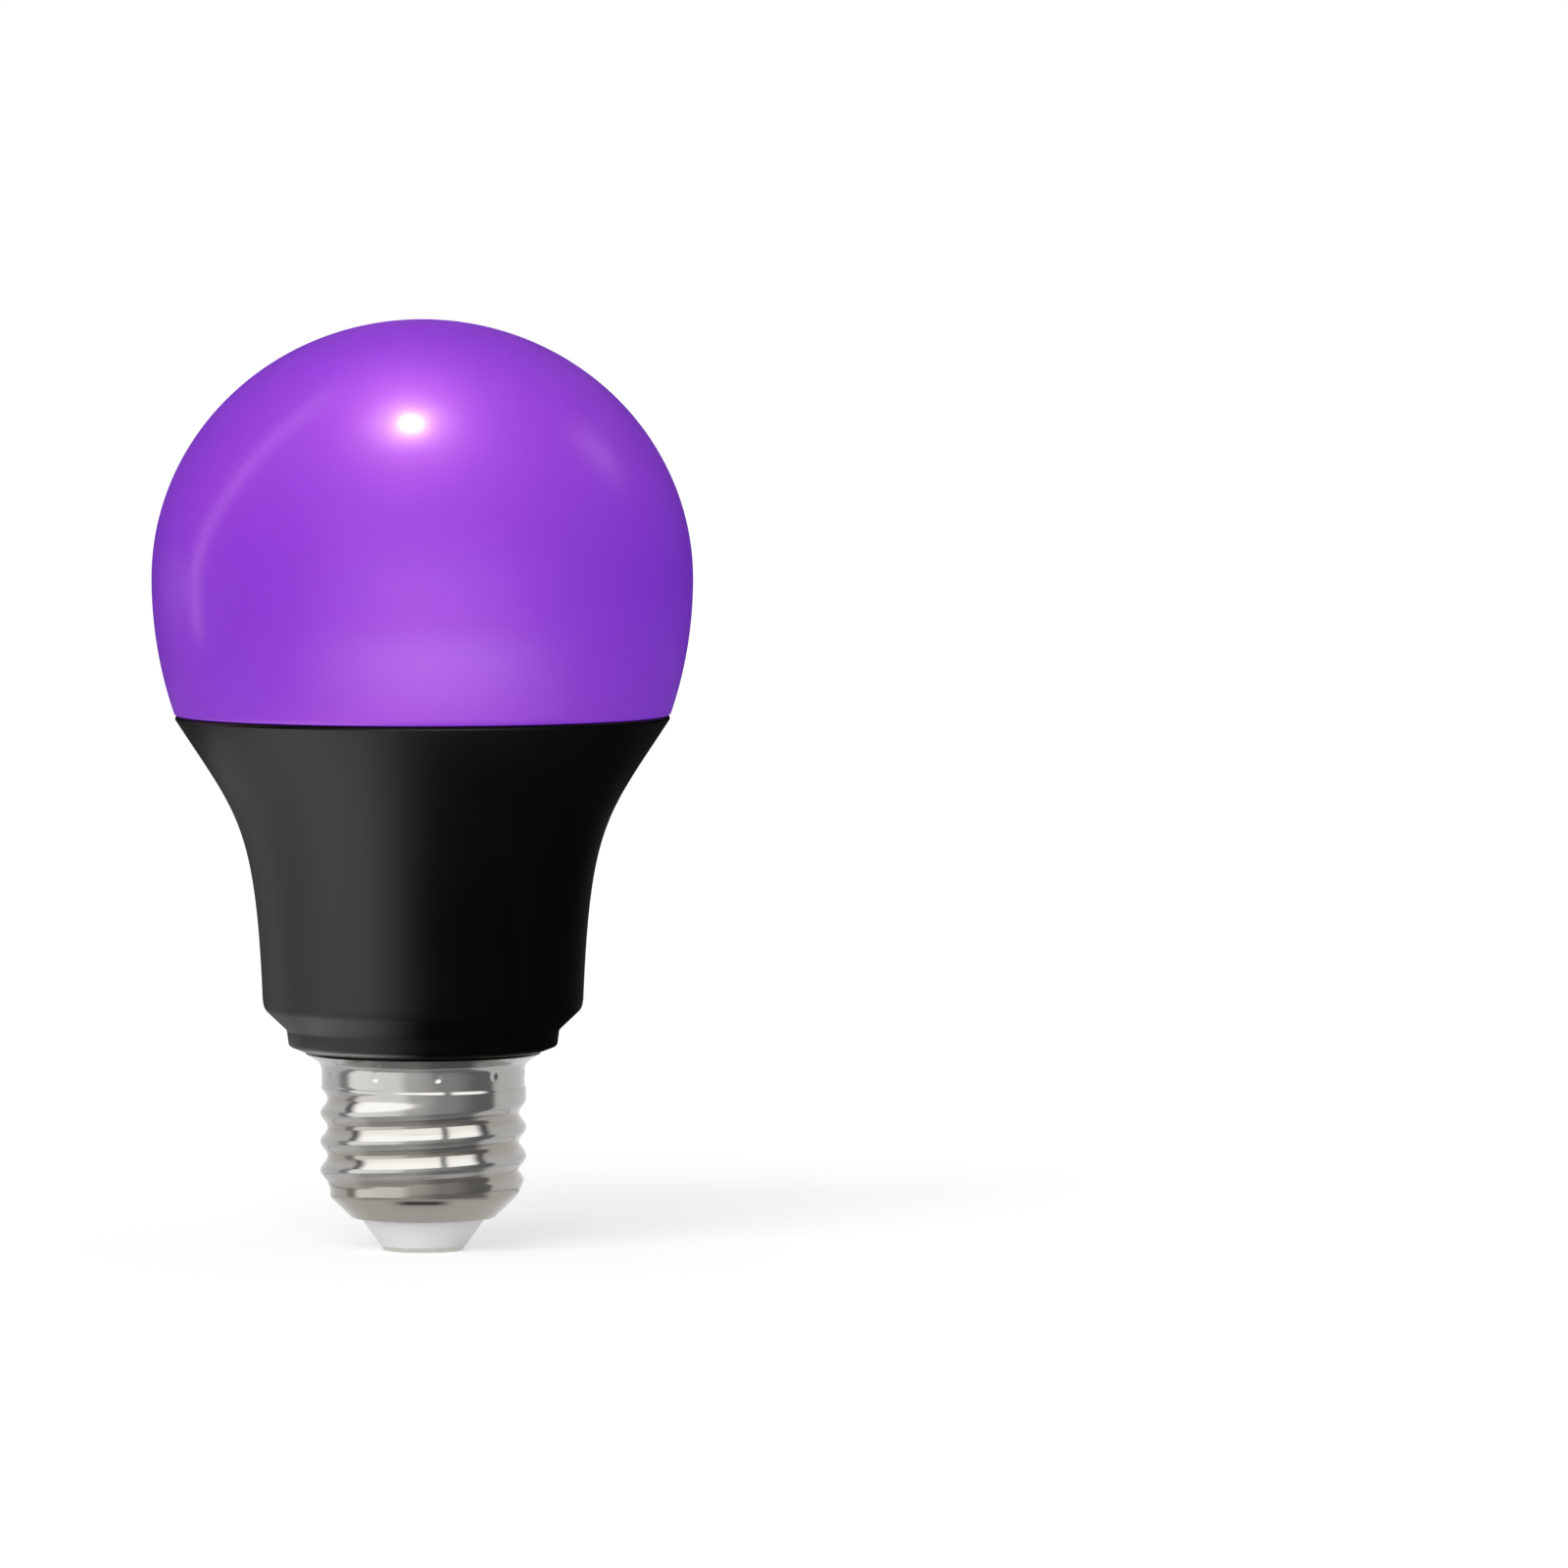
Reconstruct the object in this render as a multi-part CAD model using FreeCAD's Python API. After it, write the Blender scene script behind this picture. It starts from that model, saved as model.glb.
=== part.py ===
import FreeCAD, Part
import math
import os
from FreeCAD import Vector

# An LED black light lamp with a 26 mm screw cap, in millimetres. The lamp axis is Z, with the cap at
# the bottom and the dome on top. The origin is the middle of the centre contact's flat face.

# Heights of the lamp, from the contact's face
INSULATOR_BASE_Z = 0.55
CAP_LIP_Z = 4.15
CAP_TOP_Z = 23.7
COLLAR_Z = 26.0
SHOULDER_LOW_Z = 28.0
SHOULDER_HIGH_Z = 30.7
NECK_Z = 31.8
SEAM_Z = 68.0

# Play between round pieces that slip past each other
CLEARANCE = 0.3
# Closer play where a piece is glued or pressed in
SNUG = 0.1

# Housing: the outside runs from the rim down a flare to the neck, and from there to the cap
RIM_RADIUS = 31.35
RIM_EDGE = 0.55
RIM_ROUNDING = 0.35
FLARE_SLOPE = 0.65
FLARE_RIM_SHARE = 0.4
NECK_RADIUS = 20.35
NECK_SLOPE = 0.04
FLARE_NECK_SHARE = 0.62
SHOULDER_SET_IN = 0.2
SHOULDER_RADIUS = NECK_RADIUS - SHOULDER_SET_IN
COLLAR_SET_IN = 3.3
COLLAR_RADIUS = NECK_RADIUS - COLLAR_SET_IN
COLLAR_TAPER = 0.25
SHOULDER_ROUNDING = 1.7
COLLAR_ROUNDING = 0.6
HOUSING_WALL = 1.3
SHOULDER_FLOOR = 0.7
COLLAR_FLOOR = 2.0

# Diffuser dome: half an ellipse above its widest circle and the start of a taller one below it, which
# comes in to the housing's rim
DOME_BULGE = 2.95
DOME_RADIUS = RIM_RADIUS + DOME_BULGE
DOME_CROWN = 32.8
DOME_FOOT_LAP = 0.08
DOME_LOWER_HEIGHT = 17.3
DOME_WALL = 1.3
DOME_GATE_RADIUS = 1.0
SKIRT_SET_IN = 2.35
SKIRT_RADIUS = RIM_RADIUS - SKIRT_SET_IN
SKIRT_WALL = 1.4
SKIRT_DEPTH = 2.0

# Silicone bead under the skirt
BEAD_HEIGHT = 0.6
BEAD_WIDTH = 0.8

# Screw shell: plated sheet with a right-hand thread of rounded grooves, a plain band and a flared top.
# The groove's section is drawn in straight steps, given in twelfths of the pitch from its middle.
CAP_CREST_RADIUS = 13.08
CAP_THREAD_DEPTH = 0.92
CAP_PITCH = 3.629
CAP_TURNS = 3
CAP_LOWEST_GROOVE_Z = 8.35
CAP_FADE = 0.7
CAP_GROOVE_STEPS_OUTSIDE = (-5, -3, -1, 1, 3, 5)
CAP_GROOVE_STEPS_INSIDE = (-5, -1.5, 1.5, 5)
CAP_SHEET = 0.3
CAP_BAND_SET_IN = 0.18
CAP_BAND_RADIUS = CAP_CREST_RADIUS - CAP_BAND_SET_IN
CAP_BAND_HEIGHT = 2.8
CAP_FLARE_WIDTH = 2.0
CAP_FLARE_RISE = 1.3
CAP_FLARE_ROUNDING = 1.5
CAP_CONE_HEIGHT = 4.95
CAP_CONE_MIDDLE_SET_IN = 1.08
CAP_CONE_MIDDLE_RADIUS = CAP_CREST_RADIUS - CAP_CONE_MIDDLE_SET_IN
CAP_CONE_MIDDLE_HEIGHT = 2.85
CAP_CONE_TOP_ROUNDING = 1.0
CAP_CONE_MIDDLE_ROUNDING = 4.0
CAP_LIP_ROUNDING = 0.4
CAP_CONE_WIDTH = 3.98
CAP_LIP_RADIUS = CAP_CREST_RADIUS - CAP_CONE_WIDTH
CAP_LIP_WIDTH = 0.9
CAP_HOLE_RADIUS = CAP_LIP_RADIUS - CAP_LIP_WIDTH
DIMPLE_COUNT = 10
DIMPLE_BALL_RADIUS = 0.95
DIMPLE_DEPTH = 0.18
DIMPLE_DROP = 1.0
DIMPLE_TURN = 9.7

# Stem of the housing, which plugs into the screw shell
STEM_BOTTOM_Z = 11.0
STEM_PLAY = 0.56
STEM_THREAD_ZONE_RADIUS = CAP_CREST_RADIUS - CAP_THREAD_DEPTH - CAP_SHEET - STEM_PLAY
STEM_BAND_ZONE_HEIGHT = 2.5
STEM_WALL = 1.1
NEUTRAL_NOTCH_WIDTH = 1.2
NEUTRAL_NOTCH_DEPTH = 0.7

# Cap insulator and centre contact
INSULATOR_TIP_RADIUS = 5.4
INSULATOR_FLANGE_WIDTH = 0.8
INSULATOR_FLANGE_HEIGHT = 1.2
INSULATOR_WALL = 1.2
INSULATOR_ROUNDING = 0.2
CONTACT_SET_IN = 0.2
CONTACT_RADIUS = INSULATOR_TIP_RADIUS - CONTACT_SET_IN
CONTACT_ROUNDING = 0.3
CONTACT_STEM_RADIUS = 1.6
CONTACT_STEM_HEIGHT = 2.4
CONTACT_BORE_DEPTH = 2.0

# Heat sink cup, drawn sheet that follows the housing's inside
CUP_SHEET = 0.8
CUP_STEP_DROP = 6.0
CUP_STEP_Z = SEAM_Z - CUP_STEP_DROP
CUP_STEP_WIDTH = 1.3
CUP_LIP_HEIGHT = 2.0
CUP_FLOOR_HOLE_SET_IN = 2.55
CUP_FLOOR_HOLE_RADIUS = COLLAR_RADIUS - CUP_FLOOR_HOLE_SET_IN

# LED board and chips
LED_BOARD_THICKNESS = 1.2
LED_COUNT = 12
LED_CIRCLE_RADIUS = 17.5
LED_LENGTH = 3.5
LED_WIDTH = 2.8
LED_HEIGHT = 0.7
LED_WINDOW_RADIUS = 1.05
LED_WINDOW_DEPTH = 0.2

# Driver board: a wide head in the neck and a narrow tail in the stem
BOARD_THICKNESS = 1.6
BOARD_HEAD_HALF_WIDTH = 13.0
BOARD_TAIL_PLAY = 0.8
BOARD_TAIL_HALF_WIDTH = STEM_THREAD_ZONE_RADIUS - STEM_WALL - BOARD_TAIL_PLAY
BOARD_BOTTOM_Z = 14.0
BOARD_SHOULDER_Z = 33.2
BOARD_DROP = 9.0
BOARD_TOP_Z = SEAM_Z - BOARD_DROP
GUIDE_REACH = 1.6
GUIDE_WIDTH = 4.4
GUIDE_TOP_Z = 24.0

# Plug between driver board and LED board
HEADER_LENGTH = 6.5
HEADER_WIDTH = 2.5
HEADER_HEIGHT = 5.0
HEADER_DROP = 4.0
HEADER_PIN_SPACING = 2.54
HEADER_PIN_SIZE = 0.64
HEADER_PIN_RISE = 7.6
SOCKET_LENGTH = 7.5
SOCKET_WIDTH = 5.0
SOCKET_HEIGHT = 3.0

# Parts on the driver board's front face, on the +Y side
ELECTROLYTIC_RADIUS = 5.0
ELECTROLYTIC_X = -5.0
ELECTROLYTIC_Z = 35.5
ELECTROLYTIC_GAP = 3.5
ELECTROLYTIC_LENGTH = BOARD_TOP_Z - HEADER_DROP - ELECTROLYTIC_GAP - ELECTROLYTIC_Z
OUTPUT_CAPACITOR_RADIUS = 3.15
OUTPUT_CAPACITOR_LENGTH = 11.0
OUTPUT_CAPACITOR_X = 6.5
OUTPUT_CAPACITOR_Z = 38.0
CAN_ROUNDING = 0.5
CAN_GROOVE_DEPTH = 0.4
CAN_GROOVE_HEIGHT = 1.0
FILM_CAPACITOR_SIZE = (8.0, 4.2, 6.5)
FILM_CAPACITOR_Z = 24.5
VARISTOR_RADIUS = 3.5
VARISTOR_THICKNESS = 3.6
VARISTOR_Z = 19.0

# Parts on the driver board's back face, on the -Y side
INDUCTOR_FLANGE_RADIUS = 5.0
INDUCTOR_CORE_RADIUS = 2.4
INDUCTOR_FLANGE_THICKNESS = 1.2
INDUCTOR_HEIGHT = 9.0
INDUCTOR_WINDING_RADIUS = 4.4
INDUCTOR_DROP = 1.0
INDUCTOR_Z = BOARD_TOP_Z - INDUCTOR_FLANGE_RADIUS - INDUCTOR_DROP
RECTIFIER_SIZE = (4.8, 2.6, 3.9)
RECTIFIER_Z = 27.0
DRIVER_CHIP_SIZE = (4.9, 1.6, 3.9)
DRIVER_CHIP_Z = 32.0
PACKAGE_CHAMFER = 0.25
FUSIBLE_RESISTOR_RADIUS = 1.6
FUSIBLE_RESISTOR_LENGTH = 8.5
FUSIBLE_RESISTOR_X = -4.0
FUSIBLE_RESISTOR_Z = 16.0

# Wires
WIRE_RADIUS = 0.55
LIVE_BEND_RADIUS = 2.0
LIVE_STRAIGHT_Z = 9.5
NEUTRAL_WIRE_RADIUS = 0.3
NEUTRAL_BEND_RADIUS = 0.8
NEUTRAL_START_X = 6.0
NEUTRAL_LOW_Z = 9.9
NEUTRAL_END_Z = 18.0

AXIS = Vector(0, 0, 1)
ORIGIN = Vector(0, 0, 0)


def at(r, z):
    """The point r from the lamp axis and z up it, in the plane that outlines are drawn in."""
    return Vector(r, 0, z)


def outline(corners):
    """Edges of a path through (r, z) or (r, z, rounding) corners, with an arc at each rounded one."""
    edges = []
    last = at(*corners[0][:2])
    for i in range(1, len(corners)):
        corner = at(*corners[i][:2])
        rounding = corners[i][2] if len(corners[i]) == 3 and i < len(corners) - 1 else 0
        if rounding:
            back = (last - corner).normalize()
            ahead = (at(*corners[i + 1][:2]) - corner).normalize()
            half_angle = back.getAngle(ahead) / 2
            reach = rounding / math.tan(half_angle)
            middle = (back + ahead).normalize()
            deepest = corner + middle * (rounding / math.sin(half_angle) - rounding)
            start, end = corner + back * reach, corner + ahead * reach
            edges.append(Part.LineSegment(last, start).toShape())
            edges.append(Part.Arc(start, deepest, end).toShape())
            last = end
        else:
            edges.append(Part.LineSegment(last, corner).toShape())
            last = corner
    return edges


def turned(edges, angle=360):
    """Solid of the closed outline that the edges make, turned about the lamp axis."""
    wire = Part.Wire(Part.__sortEdges__(edges))
    return Part.Face(wire).revolve(ORIGIN, AXIS, angle)


def turned_outline(corners):
    """Turned solid of the closed path through (r, z) or (r, z, rounding) corners."""
    return turned(outline(corners + [corners[0][:2]]))


def block(size, base, chamfer=0):
    """Box of (x, y, z) size whose least corner is at base, with its long edges chamfered if asked."""
    box = Part.makeBox(*size, base)
    return box.makeChamfer(chamfer, box.Edges) if chamfer else box


def ellipse_arc(centre_z, across, along, start, end):
    """Arc about the lamp axis from start to end, both on the ellipse with the radius across it and
    the signed height along it."""
    centre, side, tip = at(0, centre_z), at(across, 0), at(0, along)
    major, minor = (side, tip) if across >= abs(along) else (tip, side)

    def turn(point):
        arm = point - centre
        return math.atan2(arm.dot(minor) / minor.dot(minor), arm.dot(major) / major.dot(major))

    ellipse = Part.Ellipse(centre + major, centre + minor, centre)
    return Part.Arc(ellipse, *sorted((turn(start), turn(end)))).toShape()


DOME_CENTRE_Z = SEAM_Z + DOME_LOWER_HEIGHT


DOME_FOOT_RADIUS = RIM_RADIUS + DOME_FOOT_LAP
DOME_LOWER_AXIS = DOME_LOWER_HEIGHT / math.sqrt(1 - (DOME_FOOT_RADIUS / DOME_RADIUS) ** 2)


def dome_radius(z, inset):
    """Radius at height z, below the widest circle, of the dome's surface moved in by inset."""
    down = (DOME_CENTRE_Z - z) / (DOME_LOWER_AXIS - inset)
    return (DOME_RADIUS - inset) * math.sqrt(1 - down ** 2)


def dome_body(inset, foot_z, skirt_radius, skirt_z):
    """Solid under the dome's surface moved in by inset, down to its foot and the skirt below that.
    The little flat on top is where the moulding gate was."""
    centre_z = DOME_CENTRE_Z
    across, crown, lower = DOME_RADIUS - inset, DOME_CROWN - inset, DOME_LOWER_AXIS - inset
    top_rise = crown * math.sqrt(1 - (DOME_GATE_RADIUS / across) ** 2)
    top = at(DOME_GATE_RADIUS, centre_z + top_rise)
    foot, side = at(dome_radius(foot_z, inset), foot_z), at(across, centre_z)
    base = outline([
        (top.x, top.z),
        (0, top.z),
        (0, skirt_z),
        (skirt_radius, skirt_z),
        (skirt_radius, foot_z),
        (foot.x, foot_z),
    ])
    return turned(base + [
        ellipse_arc(centre_z, across, -lower, foot, side),
        ellipse_arc(centre_z, across, crown, side, top),
    ])


def diffuser_dome():
    """Thin dome with a thick foot at the seam and a skirt set in from it."""
    skirt_z = SEAM_Z - SKIRT_DEPTH
    outside = dome_body(0, SEAM_Z, SKIRT_RADIUS, skirt_z)
    inside = dome_body(DOME_WALL, SEAM_Z + DOME_WALL, SKIRT_RADIUS - SKIRT_WALL, skirt_z - CLEARANCE)
    return outside.cut(inside)


BEAD_TOP_Z = SEAM_Z - SKIRT_DEPTH
SEAT_Z = BEAD_TOP_Z - BEAD_HEIGHT
REBATE_RADIUS = SKIRT_RADIUS + CLEARANCE


def dome_sealant():
    """Square ring of silicone between the skirt's end and the step in the rim."""
    outer = REBATE_RADIUS - SNUG
    return turned_outline([
        (outer, BEAD_TOP_Z),
        (outer, SEAT_Z),
        (outer - BEAD_WIDTH, SEAT_Z),
        (outer - BEAD_WIDTH, BEAD_TOP_Z),
    ])


def flare(inset):
    """Curve of the housing's outside from rim to neck, moved inwards by inset."""
    down = at(-FLARE_SLOPE, -1).normalize()
    up = at(NECK_SLOPE, 1).normalize()
    rim = at(RIM_RADIUS, SEAM_Z - RIM_EDGE) + at(down.z, -down.x) * inset
    neck = at(NECK_RADIUS, NECK_Z) + at(-up.z, up.x) * inset
    rim_pull = down * (SEAM_Z - NECK_Z) * FLARE_RIM_SHARE
    neck_pull = up * (SEAM_Z - NECK_Z) * FLARE_NECK_SHARE
    curve = Part.BezierCurve()
    curve.setPoles([rim, rim + rim_pull, neck + neck_pull, neck])
    return curve


def place_on_flare(curve, axis, value):
    """The curve's own parameter where its x, the radius, or its z has a value, found by halving."""
    above, below = 0.0, 1.0
    for _ in range(40):
        middle = (above + below) / 2
        if getattr(curve.value(middle), axis) > value:
            above = middle
        else:
            below = middle
    return (above + below) / 2


STEM_BAND_ZONE_RADIUS = CAP_BAND_RADIUS - CAP_SHEET - CLEARANCE
CAP_RIM_Z = CAP_TOP_Z + CAP_FLARE_RISE
COLLAR_FOOT_Z = CAP_RIM_Z + CLEARANCE


def housing_outside():
    """Solid body of the housing and its stem, as if it weren't hollow."""
    curve = flare(0)
    rim, neck = curve.value(0), curve.value(1)
    band_zone, thread_zone = STEM_BAND_ZONE_RADIUS, STEM_THREAD_ZONE_RADIUS
    band_zone_z = CAP_TOP_Z - STEM_BAND_ZONE_HEIGHT
    top = outline([(0, SEAM_Z), (RIM_RADIUS, SEAM_Z, RIM_ROUNDING), (rim.x, rim.z)])
    bottom = outline([
        (neck.x, neck.z),
        (SHOULDER_RADIUS, SHOULDER_HIGH_Z, SHOULDER_ROUNDING),
        (COLLAR_RADIUS + COLLAR_TAPER, SHOULDER_LOW_Z, COLLAR_ROUNDING),
        (COLLAR_RADIUS, COLLAR_Z, COLLAR_ROUNDING),
        (CAP_BAND_RADIUS + CAP_FLARE_WIDTH + CLEARANCE, COLLAR_FOOT_Z),
        (band_zone, COLLAR_FOOT_Z),
        (band_zone, band_zone_z),
        (thread_zone, band_zone_z),
        (thread_zone, STEM_BOTTOM_Z),
        (0, STEM_BOTTOM_Z),
        (0, SEAM_Z),
    ])
    return turned(top + [curve.toShape()] + bottom)


STEM_BORE_RADIUS = STEM_THREAD_ZONE_RADIUS - STEM_WALL
SHOULDER_FLOOR_Z = SHOULDER_HIGH_Z + SHOULDER_FLOOR


def housing_inside():
    """Space inside the housing, from the stem's bore up to the rim."""
    curve = flare(HOUSING_WALL)
    rim, neck = curve.value(0), curve.value(1)
    collar_bore = COLLAR_RADIUS - HOUSING_WALL
    above, below = SEAM_Z + CLEARANCE, STEM_BOTTOM_Z - CLEARANCE
    edges = outline([(0, above), (rim.x, above), (rim.x, rim.z)]) + [curve.toShape()]
    return turned(edges + outline([
        (neck.x, neck.z),
        (neck.x, SHOULDER_FLOOR_Z),
        (collar_bore, SHOULDER_FLOOR_Z),
        (collar_bore, COLLAR_Z + COLLAR_FLOOR),
        (STEM_BORE_RADIUS, CAP_RIM_Z + COLLAR_FLOOR),
        (STEM_BORE_RADIUS, below),
        (0, below),
        (0, above),
    ]))


def guide(side):
    """Rib in the stem's bore, slotted for one edge of the driver board's tail, which stands on it."""
    slot_half = BOARD_THICKNESS / 2 + SNUG
    inner = STEM_BORE_RADIUS - GUIDE_REACH
    height = GUIDE_TOP_Z - STEM_BOTTOM_Z
    rib = block((STEM_BORE_RADIUS, GUIDE_WIDTH, height), Vector(inner, -GUIDE_WIDTH / 2, STEM_BOTTOM_Z))
    inside_wall = Part.makeCylinder(STEM_BORE_RADIUS + STEM_WALL / 2, height, Vector(0, 0, STEM_BOTTOM_Z))
    slot_reach = BOARD_TAIL_HALF_WIDTH + SNUG
    slot = Part.makeBox(slot_reach, 2 * slot_half, height, Vector(0, -slot_half, BOARD_BOTTOM_Z))
    rib = rib.common(inside_wall).cut(slot)
    rib.rotate(ORIGIN, AXIS, 0 if side > 0 else 180)
    return rib


def housing():
    """Flared shell with a rebate in the rim, and a stem with two board guides and a wire notch."""
    body = housing_outside().cut(housing_inside())
    rebate = Part.makeCylinder(REBATE_RADIUS, SEAM_Z + CLEARANCE - SEAT_Z, Vector(0, 0, SEAT_Z))
    body = body.cut(rebate).fuse([guide(1), guide(-1)])
    notch_floor = STEM_THREAD_ZONE_RADIUS - NEUTRAL_NOTCH_DEPTH
    notch = Part.makeBox(
        2 * NEUTRAL_NOTCH_DEPTH,
        NEUTRAL_NOTCH_WIDTH,
        NEUTRAL_END_Z + 2 * CLEARANCE - STEM_BOTTOM_Z,
        Vector(notch_floor, -NEUTRAL_NOTCH_WIDTH / 2, STEM_BOTTOM_Z),
    )
    return body.cut(notch).removeSplitter()


def groove_section(inset, steps):
    """Face of one groove of the thread: a cosine wave in straight steps, open past the crests."""
    corners = []
    for step in steps:
        z = step * CAP_PITCH / 12
        depth = CAP_THREAD_DEPTH * (1 + math.cos(2 * math.pi * z / CAP_PITCH)) / 2
        corners.append(at(CAP_CREST_RADIUS - inset - depth, z))
    clear = CAP_CREST_RADIUS + CAP_FADE + CAP_THREAD_DEPTH
    flank = CAP_PITCH / 20
    first, last = at(clear, corners[0].z - flank), at(clear, corners[-1].z + flank)
    return Part.Face(Part.makePolygon([first] + corners + [last, first]))


def half_groove(left_z, front, inset, steps, fade=0):
    """Half a turn of groove. Its circle is tilted, so that it climbs or falls half a pitch on its way
    from left to right, and the halves at the front and the back join into a thread. With a fade the
    circle is larger and off centre, and the groove runs out towards the right."""
    lean = math.degrees(math.atan2(CAP_PITCH / 4, CAP_CREST_RADIUS - CAP_THREAD_DEPTH / 2))
    ring = groove_section(inset - fade, steps).revolve(ORIGIN, AXIS, 180)
    if front:
        ring.rotate(ORIGIN, AXIS, 180)
    ring.translate(Vector(fade, 0, 0))
    ring.rotate(ORIGIN, Vector(0, 1, 0), -lean if front else lean)
    ring.translate(Vector(0, 0, left_z + (CAP_PITCH / 4 if front else -CAP_PITCH / 4)))
    return ring


def shell_blank(inset):
    """Turned body of the cap before its thread is rolled, moved inwards by inset."""
    crest, band = CAP_CREST_RADIUS - inset, CAP_BAND_RADIUS - inset
    band_z = CAP_TOP_Z - CAP_BAND_HEIGHT
    lip_z = CAP_LIP_Z + inset
    lean = math.atan2(CAP_FLARE_RISE, CAP_FLARE_WIDTH)
    flare_z = CAP_TOP_Z + inset * (1 - math.sin(lean)) / math.cos(lean)
    rim_z = CAP_RIM_Z + inset
    cone = math.atan2(CAP_CONE_MIDDLE_RADIUS - CAP_LIP_RADIUS, CAP_CONE_MIDDLE_HEIGHT)
    middle = CAP_CONE_MIDDLE_RADIUS - inset * math.cos(cone)
    middle_z = CAP_LIP_Z + CAP_CONE_MIDDLE_HEIGHT + inset * math.sin(cone)
    return turned_outline([
        (0, rim_z),
        (band + (rim_z - flare_z) / math.tan(lean), rim_z),
        (band, flare_z, CAP_FLARE_ROUNDING + inset),
        (band, band_z),
        (crest, band_z - (crest - band)),
        (crest, CAP_LIP_Z + CAP_CONE_HEIGHT, CAP_CONE_TOP_ROUNDING),
        (middle, middle_z, CAP_CONE_MIDDLE_ROUNDING),
        (CAP_LIP_RADIUS - inset / 2, lip_z, CAP_LIP_ROUNDING),
        (0, lip_z),
    ])


def rolled(inset, steps):
    """Cap blank with every turn of its groove rolled in."""
    lowest = CAP_LOWEST_GROOVE_Z
    rings = [half_groove(lowest, False, inset, steps, CAP_FADE)]
    for turn in range(CAP_TURNS):
        rings.append(half_groove(lowest + turn * CAP_PITCH, True, inset, steps))
        rings.append(half_groove(lowest + (turn + 1) * CAP_PITCH, False, inset, steps))
    rings.append(half_groove(lowest + CAP_TURNS * CAP_PITCH, True, inset, steps, CAP_FADE))
    body = shell_blank(inset)
    for ring in rings:
        body = body.cut(ring)
    return body


def dimples():
    """Balls that press the punch marks into the plain band, evenly spaced round it."""
    reach = CAP_BAND_RADIUS - DIMPLE_DEPTH + DIMPLE_BALL_RADIUS
    balls = []
    for mark in range(DIMPLE_COUNT):
        angle = math.radians(DIMPLE_TURN - 90 + 360 * mark / DIMPLE_COUNT)
        centre = Vector(reach * math.cos(angle), reach * math.sin(angle), CAP_TOP_Z - DIMPLE_DROP)
        balls.append(Part.makeSphere(DIMPLE_BALL_RADIUS, centre))
    return balls


def screw_shell():
    """Rolled sheet shell, open at its flared top and with a hole for the insulator in its lip."""
    outside = rolled(0, CAP_GROOVE_STEPS_OUTSIDE)
    inside = rolled(CAP_SHEET, CAP_GROOVE_STEPS_INSIDE)
    hole = Part.makeCylinder(CAP_HOLE_RADIUS, CAP_TOP_Z)
    return outside.cut([inside, hole]).cut(dimples())


def cap_insulator():
    """Cone that fills the lip's hole from inside, with a flange that rests on the lip."""
    neck = CAP_HOLE_RADIUS - CLEARANCE
    flange = neck + INSULATOR_FLANGE_WIDTH
    seat_z = CAP_LIP_Z + CAP_SHEET
    floor_z = INSULATOR_BASE_Z + INSULATOR_WALL
    bore = CONTACT_STEM_RADIUS + CLEARANCE
    return turned_outline([
        (bore, INSULATOR_BASE_Z),
        (INSULATOR_TIP_RADIUS, INSULATOR_BASE_Z, INSULATOR_ROUNDING),
        (neck, CAP_LIP_Z - SNUG),
        (neck, seat_z),
        (flange, seat_z),
        (flange, seat_z + INSULATOR_FLANGE_HEIGHT),
        (neck - INSULATOR_WALL, seat_z + INSULATOR_FLANGE_HEIGHT),
        (neck - INSULATOR_WALL, CAP_LIP_Z),
        (INSULATOR_TIP_RADIUS - INSULATOR_WALL / 2, floor_z),
        (bore, floor_z),
    ])


def centre_contact():
    """Disc on the end of the insulator with a bored stem that grips the live wire."""
    bore = WIRE_RADIUS + SNUG
    stem_top_z = INSULATOR_BASE_Z + CONTACT_STEM_HEIGHT
    bore_z = stem_top_z - CONTACT_BORE_DEPTH
    return turned_outline([
        (0, 0),
        (CONTACT_RADIUS, 0, CONTACT_ROUNDING),
        (CONTACT_RADIUS, INSULATOR_BASE_Z),
        (CONTACT_STEM_RADIUS, INSULATOR_BASE_Z),
        (CONTACT_STEM_RADIUS, stem_top_z),
        (bore, stem_top_z),
        (bore, bore_z),
        (0, bore_z),
    ])


CUP_INSET = HOUSING_WALL + CLEARANCE


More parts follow.
